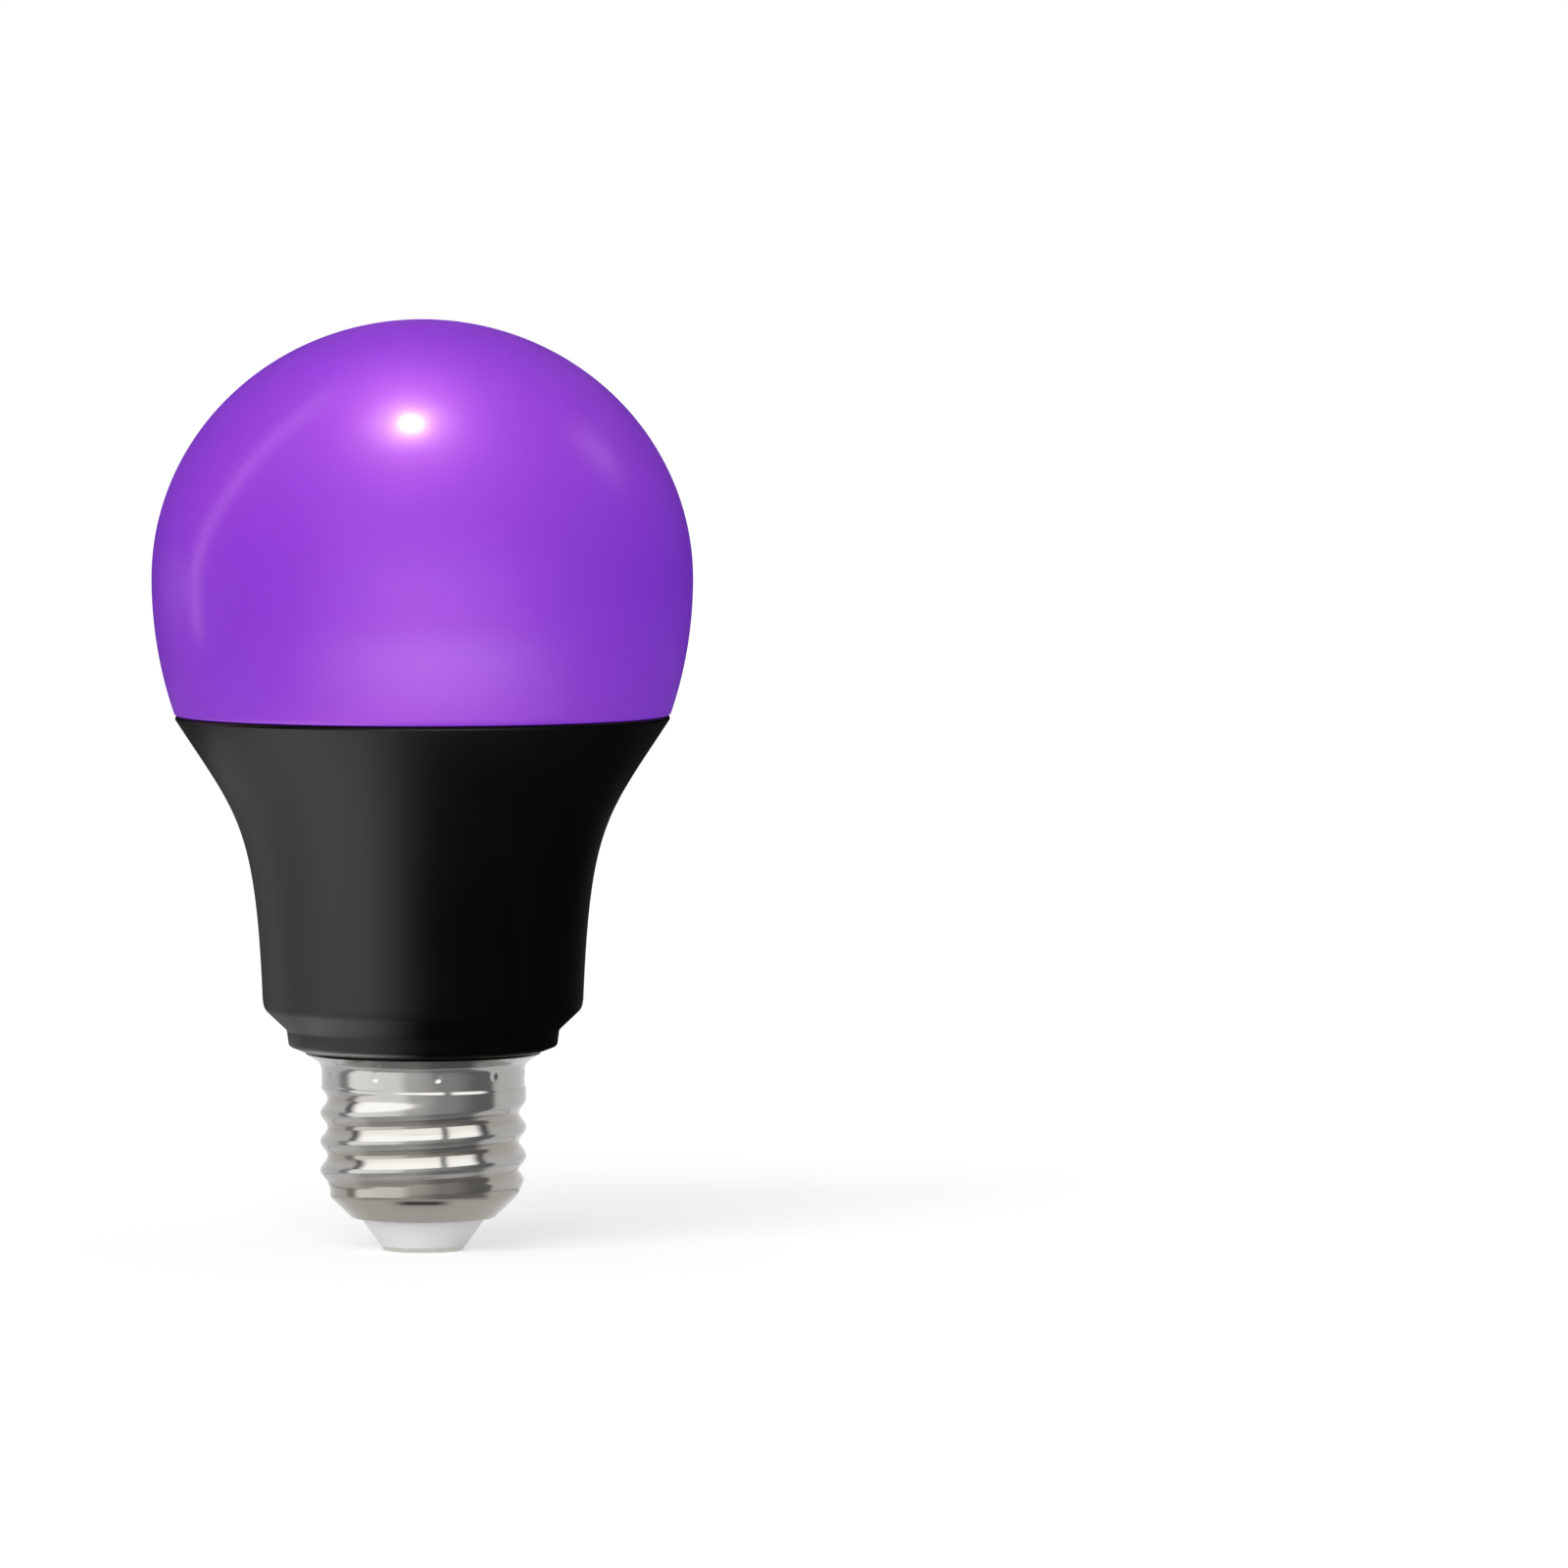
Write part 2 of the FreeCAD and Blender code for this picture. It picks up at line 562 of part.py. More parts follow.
def heat_sink_cup():
    """Drawn cup that lines the flare, stands on the shoulder's floor and steps out for the LED board."""
    outer, inner = flare(CUP_INSET), flare(CUP_INSET + CUP_SHEET)
    step_top_z = CUP_STEP_Z + CUP_SHEET
    lip_z = step_top_z + CUP_LIP_HEIGHT
    step_outer = outer.value(place_on_flare(outer, "z", CUP_STEP_Z)).x
    wall_outer = step_outer - CUP_STEP_WIDTH
    wall_inner = wall_outer - CUP_SHEET
    outer_joint = place_on_flare(outer, "x", wall_outer)
    inner_joint = place_on_flare(inner, "x", wall_inner)
    lip_outer = outer.value(place_on_flare(outer, "z", lip_z)).x
    lip_inner = inner.value(place_on_flare(inner, "z", lip_z)).x
    board_edge = inner.value(place_on_flare(inner, "z", step_top_z)).x
    foot_outer, foot_inner = outer.value(1), inner.value(1)
    floor_z = SHOULDER_FLOOR_Z
    top = outline([
        (wall_outer, outer.value(outer_joint).z),
        (wall_outer, CUP_STEP_Z),
        (step_outer, CUP_STEP_Z),
        (lip_outer, lip_z),
        (lip_inner, lip_z),
        (board_edge, step_top_z),
        (wall_inner, step_top_z),
        (wall_inner, inner.value(inner_joint).z),
    ])
    floor = outline([
        (foot_inner.x, foot_inner.z),
        (foot_inner.x, floor_z + CUP_SHEET),
        (CUP_FLOOR_HOLE_RADIUS, floor_z + CUP_SHEET),
        (CUP_FLOOR_HOLE_RADIUS, floor_z),
        (foot_outer.x, floor_z),
        (foot_outer.x, foot_outer.z),
    ])
    walls = [inner.toShape(inner_joint, 1), outer.toShape(outer_joint, 1)]
    return turned(top + floor + walls)


LED_BOARD_Z = CUP_STEP_Z + CUP_SHEET
LED_BOARD_TOP_Z = LED_BOARD_Z + LED_BOARD_THICKNESS
FRONT_Y = BOARD_THICKNESS / 2
BACK_Y = -BOARD_THICKNESS / 2
HEADER_Y = FRONT_Y + HEADER_WIDTH / 2
HEADER_BASE_Z = BOARD_TOP_Z - HEADER_DROP


def led_board():
    """Disc pressed into the cup's lip, slotted for the header pins."""
    inner = flare(CUP_INSET + CUP_SHEET)
    radius = inner.value(place_on_flare(inner, "z", LED_BOARD_Z)).x - SNUG
    board = Part.makeCylinder(radius, LED_BOARD_THICKNESS, Vector(0, 0, LED_BOARD_Z))
    width = 4 * HEADER_PIN_SIZE
    length = HEADER_PIN_SPACING + width
    slot_corner = Vector(-length / 2, HEADER_Y - width / 2, LED_BOARD_Z)
    return board.cut(block((length, width, LED_BOARD_THICKNESS), slot_corner))


def led_chip(number):
    """Chip package on the LED board with a round window sunk in its top."""
    corner = Vector(-LED_LENGTH / 2, -LED_WIDTH / 2, LED_BOARD_TOP_Z)
    window_base = Vector(0, 0, LED_BOARD_TOP_Z + LED_HEIGHT - LED_WINDOW_DEPTH)
    window_floor = LED_WINDOW_RADIUS - LED_WINDOW_DEPTH / 2
    window = Part.makeCone(window_floor, LED_WINDOW_RADIUS, LED_WINDOW_DEPTH, window_base)
    chip = block((LED_LENGTH, LED_WIDTH, LED_HEIGHT), corner).cut(window)
    chip.translate(Vector(LED_CIRCLE_RADIUS, 0, 0))
    chip.rotate(ORIGIN, AXIS, 360 * (number + 0.5) / LED_COUNT)
    return chip


def board_slab(half_width, bottom_z, top_z):
    """Part of the driver board between two heights."""
    corner = Vector(-half_width, BACK_Y, bottom_z)
    return Part.makeBox(2 * half_width, BOARD_THICKNESS, top_z - bottom_z, corner)


def driver_board():
    """Board whose tail stands in the stem's guides and whose head fills the neck."""
    head = board_slab(BOARD_HEAD_HALF_WIDTH, BOARD_SHOULDER_Z, BOARD_TOP_Z)
    tail = board_slab(BOARD_TAIL_HALF_WIDTH, BOARD_BOTTOM_Z, BOARD_SHOULDER_Z)
    return head.fuse(tail).removeSplitter()


def pin_space(side, play):
    """Square bar along one header pin, wider than it by the play all round."""
    size = HEADER_PIN_SIZE + 2 * play
    corner = Vector(side * HEADER_PIN_SPACING / 2 - size / 2, HEADER_Y - size / 2, HEADER_BASE_Z)
    return block((size, size, HEADER_HEIGHT + HEADER_PIN_RISE), corner)


def header_block():
    """Plastic block on the driver board that holds the two pins."""
    corner = Vector(-HEADER_LENGTH / 2, FRONT_Y, HEADER_BASE_Z)
    body = block((HEADER_LENGTH, HEADER_WIDTH, HEADER_HEIGHT), corner)
    return body.cut([pin_space(side, SNUG) for side in (-1, 1)])


def board_socket():
    """Socket on the LED board that the pins rise into."""
    corner = Vector(-SOCKET_LENGTH / 2, HEADER_Y - SOCKET_WIDTH / 2, LED_BOARD_TOP_Z)
    body = block((SOCKET_LENGTH, SOCKET_WIDTH, SOCKET_HEIGHT), corner)
    return body.cut([pin_space(side, SNUG) for side in (-1, 1)])


def capacitor_can(radius, length, x, z):
    """Round can lying upright against the board's front, with a crimped groove near its foot."""
    can = turned_outline([
        (0, length),
        (radius, length, CAN_ROUNDING),
        (radius, 3 * CAN_GROOVE_HEIGHT),
        (radius - CAN_GROOVE_DEPTH, 2.5 * CAN_GROOVE_HEIGHT),
        (radius, 2 * CAN_GROOVE_HEIGHT),
        (radius, 0, CAN_ROUNDING),
        (0, 0),
    ])
    can.translate(Vector(x, FRONT_Y + radius + SNUG, z))
    return can


def film_capacitor():
    """Rounded box on the front of the tail."""
    corner = Vector(-FILM_CAPACITOR_SIZE[0] / 2, FRONT_Y, FILM_CAPACITOR_Z)
    return block(FILM_CAPACITOR_SIZE, corner, 2 * PACKAGE_CHAMFER)


def varistor():
    """Flat disc against the front of the tail."""
    rounding = 2 * PACKAGE_CHAMFER
    disc = turned_outline([
        (0, 0),
        (VARISTOR_RADIUS, 0, rounding),
        (VARISTOR_RADIUS, VARISTOR_THICKNESS, rounding),
        (0, VARISTOR_THICKNESS),
    ])
    disc.rotate(ORIGIN, Vector(1, 0, 0), -90)
    disc.translate(Vector(0, FRONT_Y, VARISTOR_Z))
    return disc


def inductor_axis_solid(corners):
    """Turned solid whose axis stands out of the board's back at the inductor's height."""
    solid = turned_outline(corners)
    solid.rotate(ORIGIN, Vector(1, 0, 0), 90)
    solid.translate(Vector(0, BACK_Y, INDUCTOR_Z))
    return solid


def inductor_core():
    """Ferrite drum with a flange at each end."""
    top = INDUCTOR_HEIGHT - INDUCTOR_FLANGE_THICKNESS
    return inductor_axis_solid([
        (0, 0),
        (INDUCTOR_FLANGE_RADIUS, 0),
        (INDUCTOR_FLANGE_RADIUS, INDUCTOR_FLANGE_THICKNESS),
        (INDUCTOR_CORE_RADIUS, INDUCTOR_FLANGE_THICKNESS),
        (INDUCTOR_CORE_RADIUS, top),
        (INDUCTOR_FLANGE_RADIUS, top),
        (INDUCTOR_FLANGE_RADIUS, INDUCTOR_HEIGHT),
        (0, INDUCTOR_HEIGHT),
    ])


def inductor_winding():
    """Enamelled winding that fills the drum between its flanges."""
    bottom = INDUCTOR_FLANGE_THICKNESS
    top = INDUCTOR_HEIGHT - INDUCTOR_FLANGE_THICKNESS
    inner = INDUCTOR_CORE_RADIUS + SNUG
    return inductor_axis_solid([
        (inner, bottom),
        (INDUCTOR_WINDING_RADIUS, bottom, CLEARANCE),
        (INDUCTOR_WINDING_RADIUS, top, CLEARANCE),
        (inner, top),
    ])


def back_package(size, x, z):
    """Moulded package on the board's back."""
    width, depth, height = size
    return block(size, Vector(x - width / 2, BACK_Y - depth, z), PACKAGE_CHAMFER)


RESISTOR_Y = BACK_Y - SNUG - FUSIBLE_RESISTOR_RADIUS


def fusible_resistor():
    """Round resistor body lying upright on the back of the tail."""
    length, end = FUSIBLE_RESISTOR_LENGTH, FUSIBLE_RESISTOR_RADIUS / 3
    body = turned_outline([
        (0, 0),
        (FUSIBLE_RESISTOR_RADIUS, 0, end),
        (FUSIBLE_RESISTOR_RADIUS, length, end),
        (0, length),
    ])
    body.translate(Vector(FUSIBLE_RESISTOR_X, RESISTOR_Y, FUSIBLE_RESISTOR_Z))
    return body


def bent_wire(points, radius, bend):
    """Round wire along straight runs joined by arcs of the bend radius."""
    edges = []
    last = points[0]
    for corner, beyond in zip(points[1:-1], points[2:]):
        back, ahead = (last - corner).normalize(), (beyond - corner).normalize()
        half_angle = back.getAngle(ahead) / 2
        reach = bend / math.tan(half_angle)
        middle = (back + ahead).normalize()
        start, end = corner + back * reach, corner + ahead * reach
        deepest = corner + middle * (bend / math.sin(half_angle) - bend)
        edges.append(Part.LineSegment(last, start).toShape())
        edges.append(Part.Arc(start, deepest, end).toShape())
        last = end
    edges.append(Part.LineSegment(last, points[-1]).toShape())
    route = Part.Wire(edges)
    section = Part.Wire(Part.makeCircle(radius, points[0], points[1] - points[0]))
    return route.makePipeShell([section], True, False)


def live_wire():
    """Wire from the fusible resistor's foot to the bottom of the contact's bore."""
    bore_z = INSULATOR_BASE_Z + CONTACT_STEM_HEIGHT - CONTACT_BORE_DEPTH
    middle_z = (LIVE_STRAIGHT_Z + FUSIBLE_RESISTOR_Z) / 2
    return bent_wire([
        Vector(FUSIBLE_RESISTOR_X, RESISTOR_Y, FUSIBLE_RESISTOR_Z),
        Vector(FUSIBLE_RESISTOR_X, RESISTOR_Y, middle_z),
        Vector(0, 0, LIVE_STRAIGHT_Z),
        Vector(0, 0, bore_z),
    ], WIRE_RADIUS, LIVE_BEND_RADIUS)


def neutral_wire():
    """Bare wire from the board's back, under the stem's end and up the notch beside the shell."""
    y = BACK_Y - NEUTRAL_WIRE_RADIUS - SNUG
    outside = STEM_THREAD_ZONE_RADIUS - NEUTRAL_NOTCH_DEPTH + NEUTRAL_WIRE_RADIUS + SNUG
    return bent_wire([
        Vector(NEUTRAL_START_X, y, NEUTRAL_END_Z),
        Vector(NEUTRAL_START_X, y, NEUTRAL_LOW_Z),
        Vector(outside, 0, NEUTRAL_LOW_Z),
        Vector(outside, 0, NEUTRAL_END_Z),
    ], NEUTRAL_WIRE_RADIUS, NEUTRAL_BEND_RADIUS)


def lamp_nodes():
    """Every piece of the lamp by its node's name, from the dome down to the contact."""
    nodes = {
        "diffuser_dome": diffuser_dome(),
        "dome_sealant": dome_sealant(),
        "led_board": led_board(),
        "board_socket": board_socket(),
        "heat_sink_cup": heat_sink_cup(),
        "header_block": header_block(),
        "header_pin_1": pin_space(-1, 0),
        "header_pin_2": pin_space(1, 0),
        "driver_board": driver_board(),
        "electrolytic_capacitor": capacitor_can(
            ELECTROLYTIC_RADIUS, ELECTROLYTIC_LENGTH, ELECTROLYTIC_X, ELECTROLYTIC_Z),
        "output_capacitor": capacitor_can(
            OUTPUT_CAPACITOR_RADIUS, OUTPUT_CAPACITOR_LENGTH, OUTPUT_CAPACITOR_X, OUTPUT_CAPACITOR_Z),
        "film_capacitor": film_capacitor(),
        "varistor": varistor(),
        "inductor_core": inductor_core(),
        "inductor_winding": inductor_winding(),
        "driver_chip": back_package(DRIVER_CHIP_SIZE, 0, DRIVER_CHIP_Z),
        "bridge_rectifier": back_package(RECTIFIER_SIZE, 0, RECTIFIER_Z),
        "fusible_resistor": fusible_resistor(),
        "live_wire": live_wire(),
        "neutral_wire": neutral_wire(),
        "housing": housing(),
        "screw_shell": screw_shell(),
        "cap_insulator": cap_insulator(),
        "centre_contact": centre_contact(),
    }
    for number in range(LED_COUNT):
        nodes[f"led_chip_{number + 1:02d}"] = led_chip(number)
    return nodes


os.makedirs("parts", exist_ok=True)
for name, solid in lamp_nodes().items():
    solid.exportStep(f"parts/{name}.step")
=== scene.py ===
import math

import bmesh
import bpy
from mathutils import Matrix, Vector
from mathutils.geometry import interpolate_bezier


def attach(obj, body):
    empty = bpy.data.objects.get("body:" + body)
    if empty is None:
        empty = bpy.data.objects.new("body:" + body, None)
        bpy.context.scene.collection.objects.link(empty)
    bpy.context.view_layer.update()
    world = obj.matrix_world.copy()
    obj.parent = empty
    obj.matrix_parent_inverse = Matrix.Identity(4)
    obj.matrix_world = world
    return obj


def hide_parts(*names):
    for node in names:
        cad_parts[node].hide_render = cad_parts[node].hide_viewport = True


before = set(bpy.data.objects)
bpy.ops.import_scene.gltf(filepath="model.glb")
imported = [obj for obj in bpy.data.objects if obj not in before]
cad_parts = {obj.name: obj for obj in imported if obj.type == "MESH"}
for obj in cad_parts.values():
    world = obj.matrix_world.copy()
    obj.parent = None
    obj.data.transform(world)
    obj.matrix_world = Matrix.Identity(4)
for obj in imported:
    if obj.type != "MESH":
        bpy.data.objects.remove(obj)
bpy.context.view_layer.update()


# Housing: the black body of the lamp, moulded in satin plastic. It flares up to the dome's rim, steps in
# twice at the shoulder and the collar, and ends in a stem that the screw shell is crimped onto.
MM = 0.001
SEAM_Z = 68.0
RIM_RADIUS = 31.35
RIM_ROUNDING = 0.42
HOUSING_WALL = 1.3
REBATE_RADIUS = 29.3
REBATE_FLOOR_Z = 65.4
REBATE_LEDGE = 0.2
RIM_EDGE = 0.55
FLARE_SLOPE = 0.65
FLARE_RIM_PULL = 14.5
FLARE_NECK_PULL = 22.5
FLARE_STEPS = 48
NECK_RADIUS = 20.35
NECK_Z = 31.8
NECK_SLOPE = 0.04
SHOULDER_RADIUS = 20.15
SHOULDER_HIGH_Z = 30.7
SHOULDER_LOW_Z = 28.0
SHOULDER_ROUNDING = 1.7
SHOULDER_FLOOR_Z = 31.4
COLLAR_TOP_RADIUS = 17.3
COLLAR_RADIUS = 17.05
COLLAR_Z = 26.0
COLLAR_ROUNDING = 0.6
COLLAR_FOOT_RADIUS = 15.2
COLLAR_FOOT_Z = 25.3
COLLAR_BORE_RADIUS = 15.75
COLLAR_BORE_Z = 28.0
STEM_BAND_RADIUS = 12.3
STEM_BAND_Z = 21.2
STEM_RADIUS = 11.3
STEM_BOTTOM_Z = 11.0
STEM_BORE_RADIUS = 10.2
STEM_BORE_TOP_Z = 27.0
ROUNDING_STEPS = 8
TURN_STEPS = 144
MERGE_DISTANCE = 0.002 * MM


def flare_line(inset, steps):
    """Points (r, z) down the housing's side from its rim to its neck, moved inwards by the inset."""
    down = Vector((-FLARE_SLOPE, -1)).normalized()
    up = Vector((NECK_SLOPE, 1)).normalized()
    rim = Vector((RIM_RADIUS, SEAM_Z - RIM_EDGE)) + Vector((down.y, -down.x)) * inset
    neck = Vector((NECK_RADIUS, NECK_Z)) + Vector((-up.y, up.x)) * inset
    poles = [rim, rim + down * FLARE_RIM_PULL, neck + up * FLARE_NECK_PULL, neck]
    return [tuple(point)[:2] for point in interpolate_bezier(*[pole.to_3d() for pole in poles], steps)]


def rounded(corners):
    """Points (r, z) of a line through (r, z) or (r, z, rounding) corners, with an arc at each rounding."""
    points = []
    for index, corner in enumerate(corners):
        here = Vector(corner[:2])
        if len(corner) < 3:
            points.append(here)
            continue
        back = (Vector(corners[index - 1][:2]) - here).normalized()
        ahead = (Vector(corners[index + 1][:2]) - here).normalized()
        half = back.angle(ahead) / 2
        reach = corner[2] / math.tan(half)
        pull = reach * 4 / 3 * math.tan((math.pi / 2 - half) / 2) / math.tan(math.pi / 2 - half)
        start, end = here + back * reach, here + ahead * reach
        poles = start, start - back * pull, end - ahead * pull, end
        arc = interpolate_bezier(*[pole.to_3d() for pole in poles], ROUNDING_STEPS)
        points += [Vector(point[:2]) for point in arc]
    return [tuple(point) for point in points]


def turned(points, steps=TURN_STEPS):
    """Mesh of a closed line of (r, z) points in millimetres, turned about the lamp axis."""
    shape = bmesh.new()
    line = [shape.verts.new((r * MM, 0, z * MM)) for r, z in points]
    edges = [shape.edges.new(pair) for pair in zip(line, line[1:] + line[:1])]
    bmesh.ops.spin(
        shape, geom=line + edges, cent=(0, 0, 0), axis=(0, 0, 1), dvec=(0, 0, 0),
        angle=2 * math.pi, steps=steps, use_merge=True, use_normal_flip=False, use_duplicate=False,
    )
    bmesh.ops.remove_doubles(shape, verts=shape.verts, dist=MERGE_DISTANCE)
    bmesh.ops.recalc_face_normals(shape, faces=shape.faces)
    return shape


def finished(name, shape, finish, crease=32):
    """Smooth shaded piece made from the mesh. Edges that turn by more degrees than the crease stay sharp."""
    mesh = bpy.data.meshes.new(name)
    shape.to_mesh(mesh)
    shape.free()
    mesh.shade_smooth()
    mesh.set_sharp_from_angle(angle=math.radians(crease))
    mesh.materials.append(finish)
    piece = bpy.data.objects.new(name, mesh)
    bpy.context.collection.objects.link(piece)
    return piece


class Shade:
    """A socket of a material's nodes. Sums, differences, products and powers of it add Math nodes."""

    def __init__(self, tree, socket=None):
        self.tree = tree
        self.socket = socket

    def node(self, kind, settings=None, inputs=None, output=0):
        """Adds a node, makes its settings and then its sockets' values or links, and gives one output."""
        made = self.tree.nodes.new(kind)
        for name, value in (settings or {}).items():
            if name == "stops":
                for stop, (position, colour) in zip(made.color_ramp.elements, value):
                    stop.position, stop.color = position, colour
                for position, colour in value[2:]:
                    made.color_ramp.elements.new(position).color = colour
            else:
                setattr(made, name, value)
        for name, value in (inputs or {}).items():
            if isinstance(value, Shade):
                self.tree.links.new(value.socket, made.inputs[name])
            else:
                made.inputs[name].default_value = value
        return Shade(self.tree, made.outputs[output]) if made.outputs else None

    def maths(self, operation, first, second=0.0):
        return self.node("ShaderNodeMath", {"operation": operation}, {0: first, 1: second})

    def alone(self, operation):
        return self.maths(operation, self)

    def __add__(self, other):
        return self.maths("ADD", self, other)

    def __radd__(self, other):
        return self.maths("ADD", other, self)

    def __sub__(self, other):
        return self.maths("SUBTRACT", self, other)

    def __rsub__(self, other):
        return self.maths("SUBTRACT", other, self)

    def __mul__(self, other):
        return self.maths("MULTIPLY", self, other)

    def __rmul__(self, other):
        return self.maths("MULTIPLY", other, self)

    def __pow__(self, other):
        return self.maths("POWER", self, other)

    def step(self, low, high):
        """0 below low and 1 above high, with a soft change between them."""
        settings = {"interpolation_type": "SMOOTHSTEP"}
        return self.node("ShaderNodeMapRange", settings, {"Value": self, "From Min": low, "From Max": high})

    def mix(self, low, high):
        """Colour between low and high, as this socket goes from 0 to 1."""
        return self.node("ShaderNodeMix", {"data_type": "RGBA"}, {0: self, 6: low, 7: high}, 2)

    def noise(self, scale, detail, stretch=(1, 1, 1)):
        """Cloudy pattern over the place that this socket gives, stretched by axis."""
        place = self.node("ShaderNodeMapping", {}, {"Vector": self, "Scale": stretch})
        return self.node("ShaderNodeTexNoise", {}, {"Vector": place, "Scale": scale, "Detail": detail})

    def bump(self, depth):
        """Normal of a surface that this socket raises by up to the depth in metres."""
        return self.node("ShaderNodeBump", {}, {"Height": self, "Strength": 1.0, "Distance": depth})

    def axes(self):
        """The x, y and z of the place that this socket gives, in millimetres."""
        split = self.node("ShaderNodeSeparateXYZ", {}, {"Vector": self}).socket.node
        return [Shade(self.tree, output) * (1 / MM) for output in split.outputs]


def emptied(owner):
    """Gives a material or world an empty node tree, and returns the shade that adds nodes to it."""
    owner.use_nodes = True
    owner.node_tree.nodes.clear()
    return Shade(owner.node_tree)


def new_finish(name, values):
    """Material whose shader gets the values that are worked out from the place on the object."""
    material = bpy.data.materials.new(name)
    shade = emptied(material)
    place = shade.node("ShaderNodeTexCoord", output="Object")
    surface = shade.node("ShaderNodeBsdfPrincipled", {}, values(place))
    shade.node("ShaderNodeOutputMaterial", {}, {"Surface": surface})
    return material


def satin_black(place):
    """Spark-eroded black plastic: a fine even grain, with slightly shinier clouds where hands have been."""
    grain = place.noise(2600.0, 3.0)
    clouds = place.noise(60.0, 2.0)
    return {
        "Base Color": clouds.mix((0.0006, 0.0006, 0.0007, 1), (0.0013, 0.0013, 0.0014, 1)),
        "Roughness": 0.36 + 0.10 * clouds,
        "Specular IOR Level": 0.28,
        "Normal": grain.bump(0.008 * MM),
    }


housing_line = [(REBATE_RADIUS, SEAM_Z), (RIM_RADIUS, SEAM_Z, RIM_ROUNDING)]
housing_line += flare_line(0, FLARE_STEPS)
housing_line += [
    (SHOULDER_RADIUS, SHOULDER_HIGH_Z, SHOULDER_ROUNDING),
    (COLLAR_TOP_RADIUS, SHOULDER_LOW_Z, COLLAR_ROUNDING),
    (COLLAR_RADIUS, COLLAR_Z, COLLAR_ROUNDING),
    (COLLAR_FOOT_RADIUS, COLLAR_FOOT_Z),
    (STEM_BAND_RADIUS, COLLAR_FOOT_Z),
    (STEM_BAND_RADIUS, STEM_BAND_Z),
    (STEM_RADIUS, STEM_BAND_Z),
    (STEM_RADIUS, STEM_BOTTOM_Z),
    (STEM_BORE_RADIUS, STEM_BOTTOM_Z),
    (STEM_BORE_RADIUS, STEM_BORE_TOP_Z),
    (COLLAR_BORE_RADIUS, COLLAR_BORE_Z),
    (COLLAR_BORE_RADIUS, SHOULDER_FLOOR_Z),
]
inside_line = [point for point in flare_line(HOUSING_WALL, FLARE_STEPS) if point[1] < REBATE_FLOOR_Z]
housing_line += [(inside_line[-1][0], SHOULDER_FLOOR_Z)] + inside_line[::-1]
housing_line += [(inside_line[0][0] + REBATE_LEDGE, REBATE_FLOOR_Z), (REBATE_RADIUS, REBATE_FLOOR_Z)]
housing_finish = new_finish("satin_black", satin_black)
housing_shell = finished("housing_shell", turned(rounded(housing_line)), housing_finish)
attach(housing_shell, "root")
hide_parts("housing")


# Heat sink cup: drawn from aluminium sheet. It slips into the housing's flare and stands on the floor over
# the shoulder, so that the LED board's heat spreads over the flare. Drawing leaves fine rings in it.
def drawn_aluminium(place):
    rings = place.noise(900.0, 2.0, (0.15, 0.15, 1.0))
    return {
        "Base Color": rings.mix((0.60, 0.61, 0.63, 1), (0.72, 0.73, 0.74, 1)),
        "Metallic": 1.0,
        "Roughness": 0.28 + 0.14 * rings,
        "Normal": rings.bump(0.01 * MM),
    }


def dress(node, finish):
    """Gives a piece of the frame its own finish."""
    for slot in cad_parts[node].material_slots:
        slot.material = finish


dress("heat_sink_cup", new_finish("drawn_aluminium", drawn_aluminium))


# Driver board: glass-fibre board under a green solder mask. It slides into the two guides of the stem and
# carries the parts that turn mains current into what the LEDs need.
def solder_mask(place):
    """Green mask over the board's weave, lighter where the winding copper tracks lie under it."""
    z = place.axes()[2]
    weave = place.noise(1800.0, 2.0)
    tracks = (z * 0.9 + 6.0 * place.noise(55.0, 0.0)).alone("SINE")
    copper = tracks.step(0.55, 0.65)
    return {
        "Base Color": copper.mix((0.012, 0.085, 0.035, 1), (0.020, 0.150, 0.055, 1)),
        "Roughness": 0.30 + 0.15 * weave,
        "Normal": (copper + 0.15 * weave).bump(0.03 * MM),
    }


def even(colour, roughness, metallic=0.0, grain=1500.0, depth=0.006):
    """Finish of one colour with a fine grain and a slightly uneven gloss."""
    def values(place):
        clouds = place.noise(180.0, 2.0)
        dark = tuple(0.82 * part for part in colour)
        return {
            "Base Color": clouds.mix((*dark, 1), (*colour, 1)),
            "Metallic": metallic,
            "Roughness": roughness - 0.06 + 0.12 * clouds,
            "Normal": place.noise(grain, 2.0).bump(depth * MM),
        }
    return values


dress("driver_board", new_finish("solder_mask", solder_mask))
moulding = new_finish("package_moulding", even((0.016, 0.016, 0.017), 0.55, depth=0.012))
for node in ("bridge_rectifier", "driver_chip", "header_block"):
    dress(node, moulding)
dress("film_capacitor", new_finish("yellow_box", even((0.55, 0.40, 0.07), 0.32)))
dress("varistor", new_finish("blue_dip", even((0.04, 0.10, 0.42), 0.28, grain=500.0, depth=0.02)))
dress("inductor_core", new_finish("ferrite", even((0.035, 0.034, 0.036), 0.62, depth=0.015)))


# Electrolytic cans: aluminium cans in a dark shrink sleeve with a pale stripe down the side, crimped
# near the foot and bare on top.
STRIPE_START, STRIPE_FULL = 2.2, 2.5
SLEEVE_END, BARE_START = 0.5, 0.4


def can_sleeve(middle_x, top_z):
    """Sleeve of the can whose axis is at middle_x and whose top is at top_z."""
    def values(place):
        x, _, z = place.axes()
        stripe = (x - middle_x).step(STRIPE_START, STRIPE_FULL)
        bare = z.step(top_z - SLEEVE_END, top_z - BARE_START)
        sleeve = stripe.mix((0.012, 0.014, 0.030, 1), (0.42, 0.44, 0.48, 1))
        return {
            "Base Color": bare.mix(sleeve, (0.72, 0.72, 0.73, 1)),
            "Metallic": bare,
            "Roughness": 0.34 + 0.10 * place.noise(400.0, 2.0),
            "Normal": place.noise(700.0, 1.0).bump(0.01 * MM),
        }
    return values


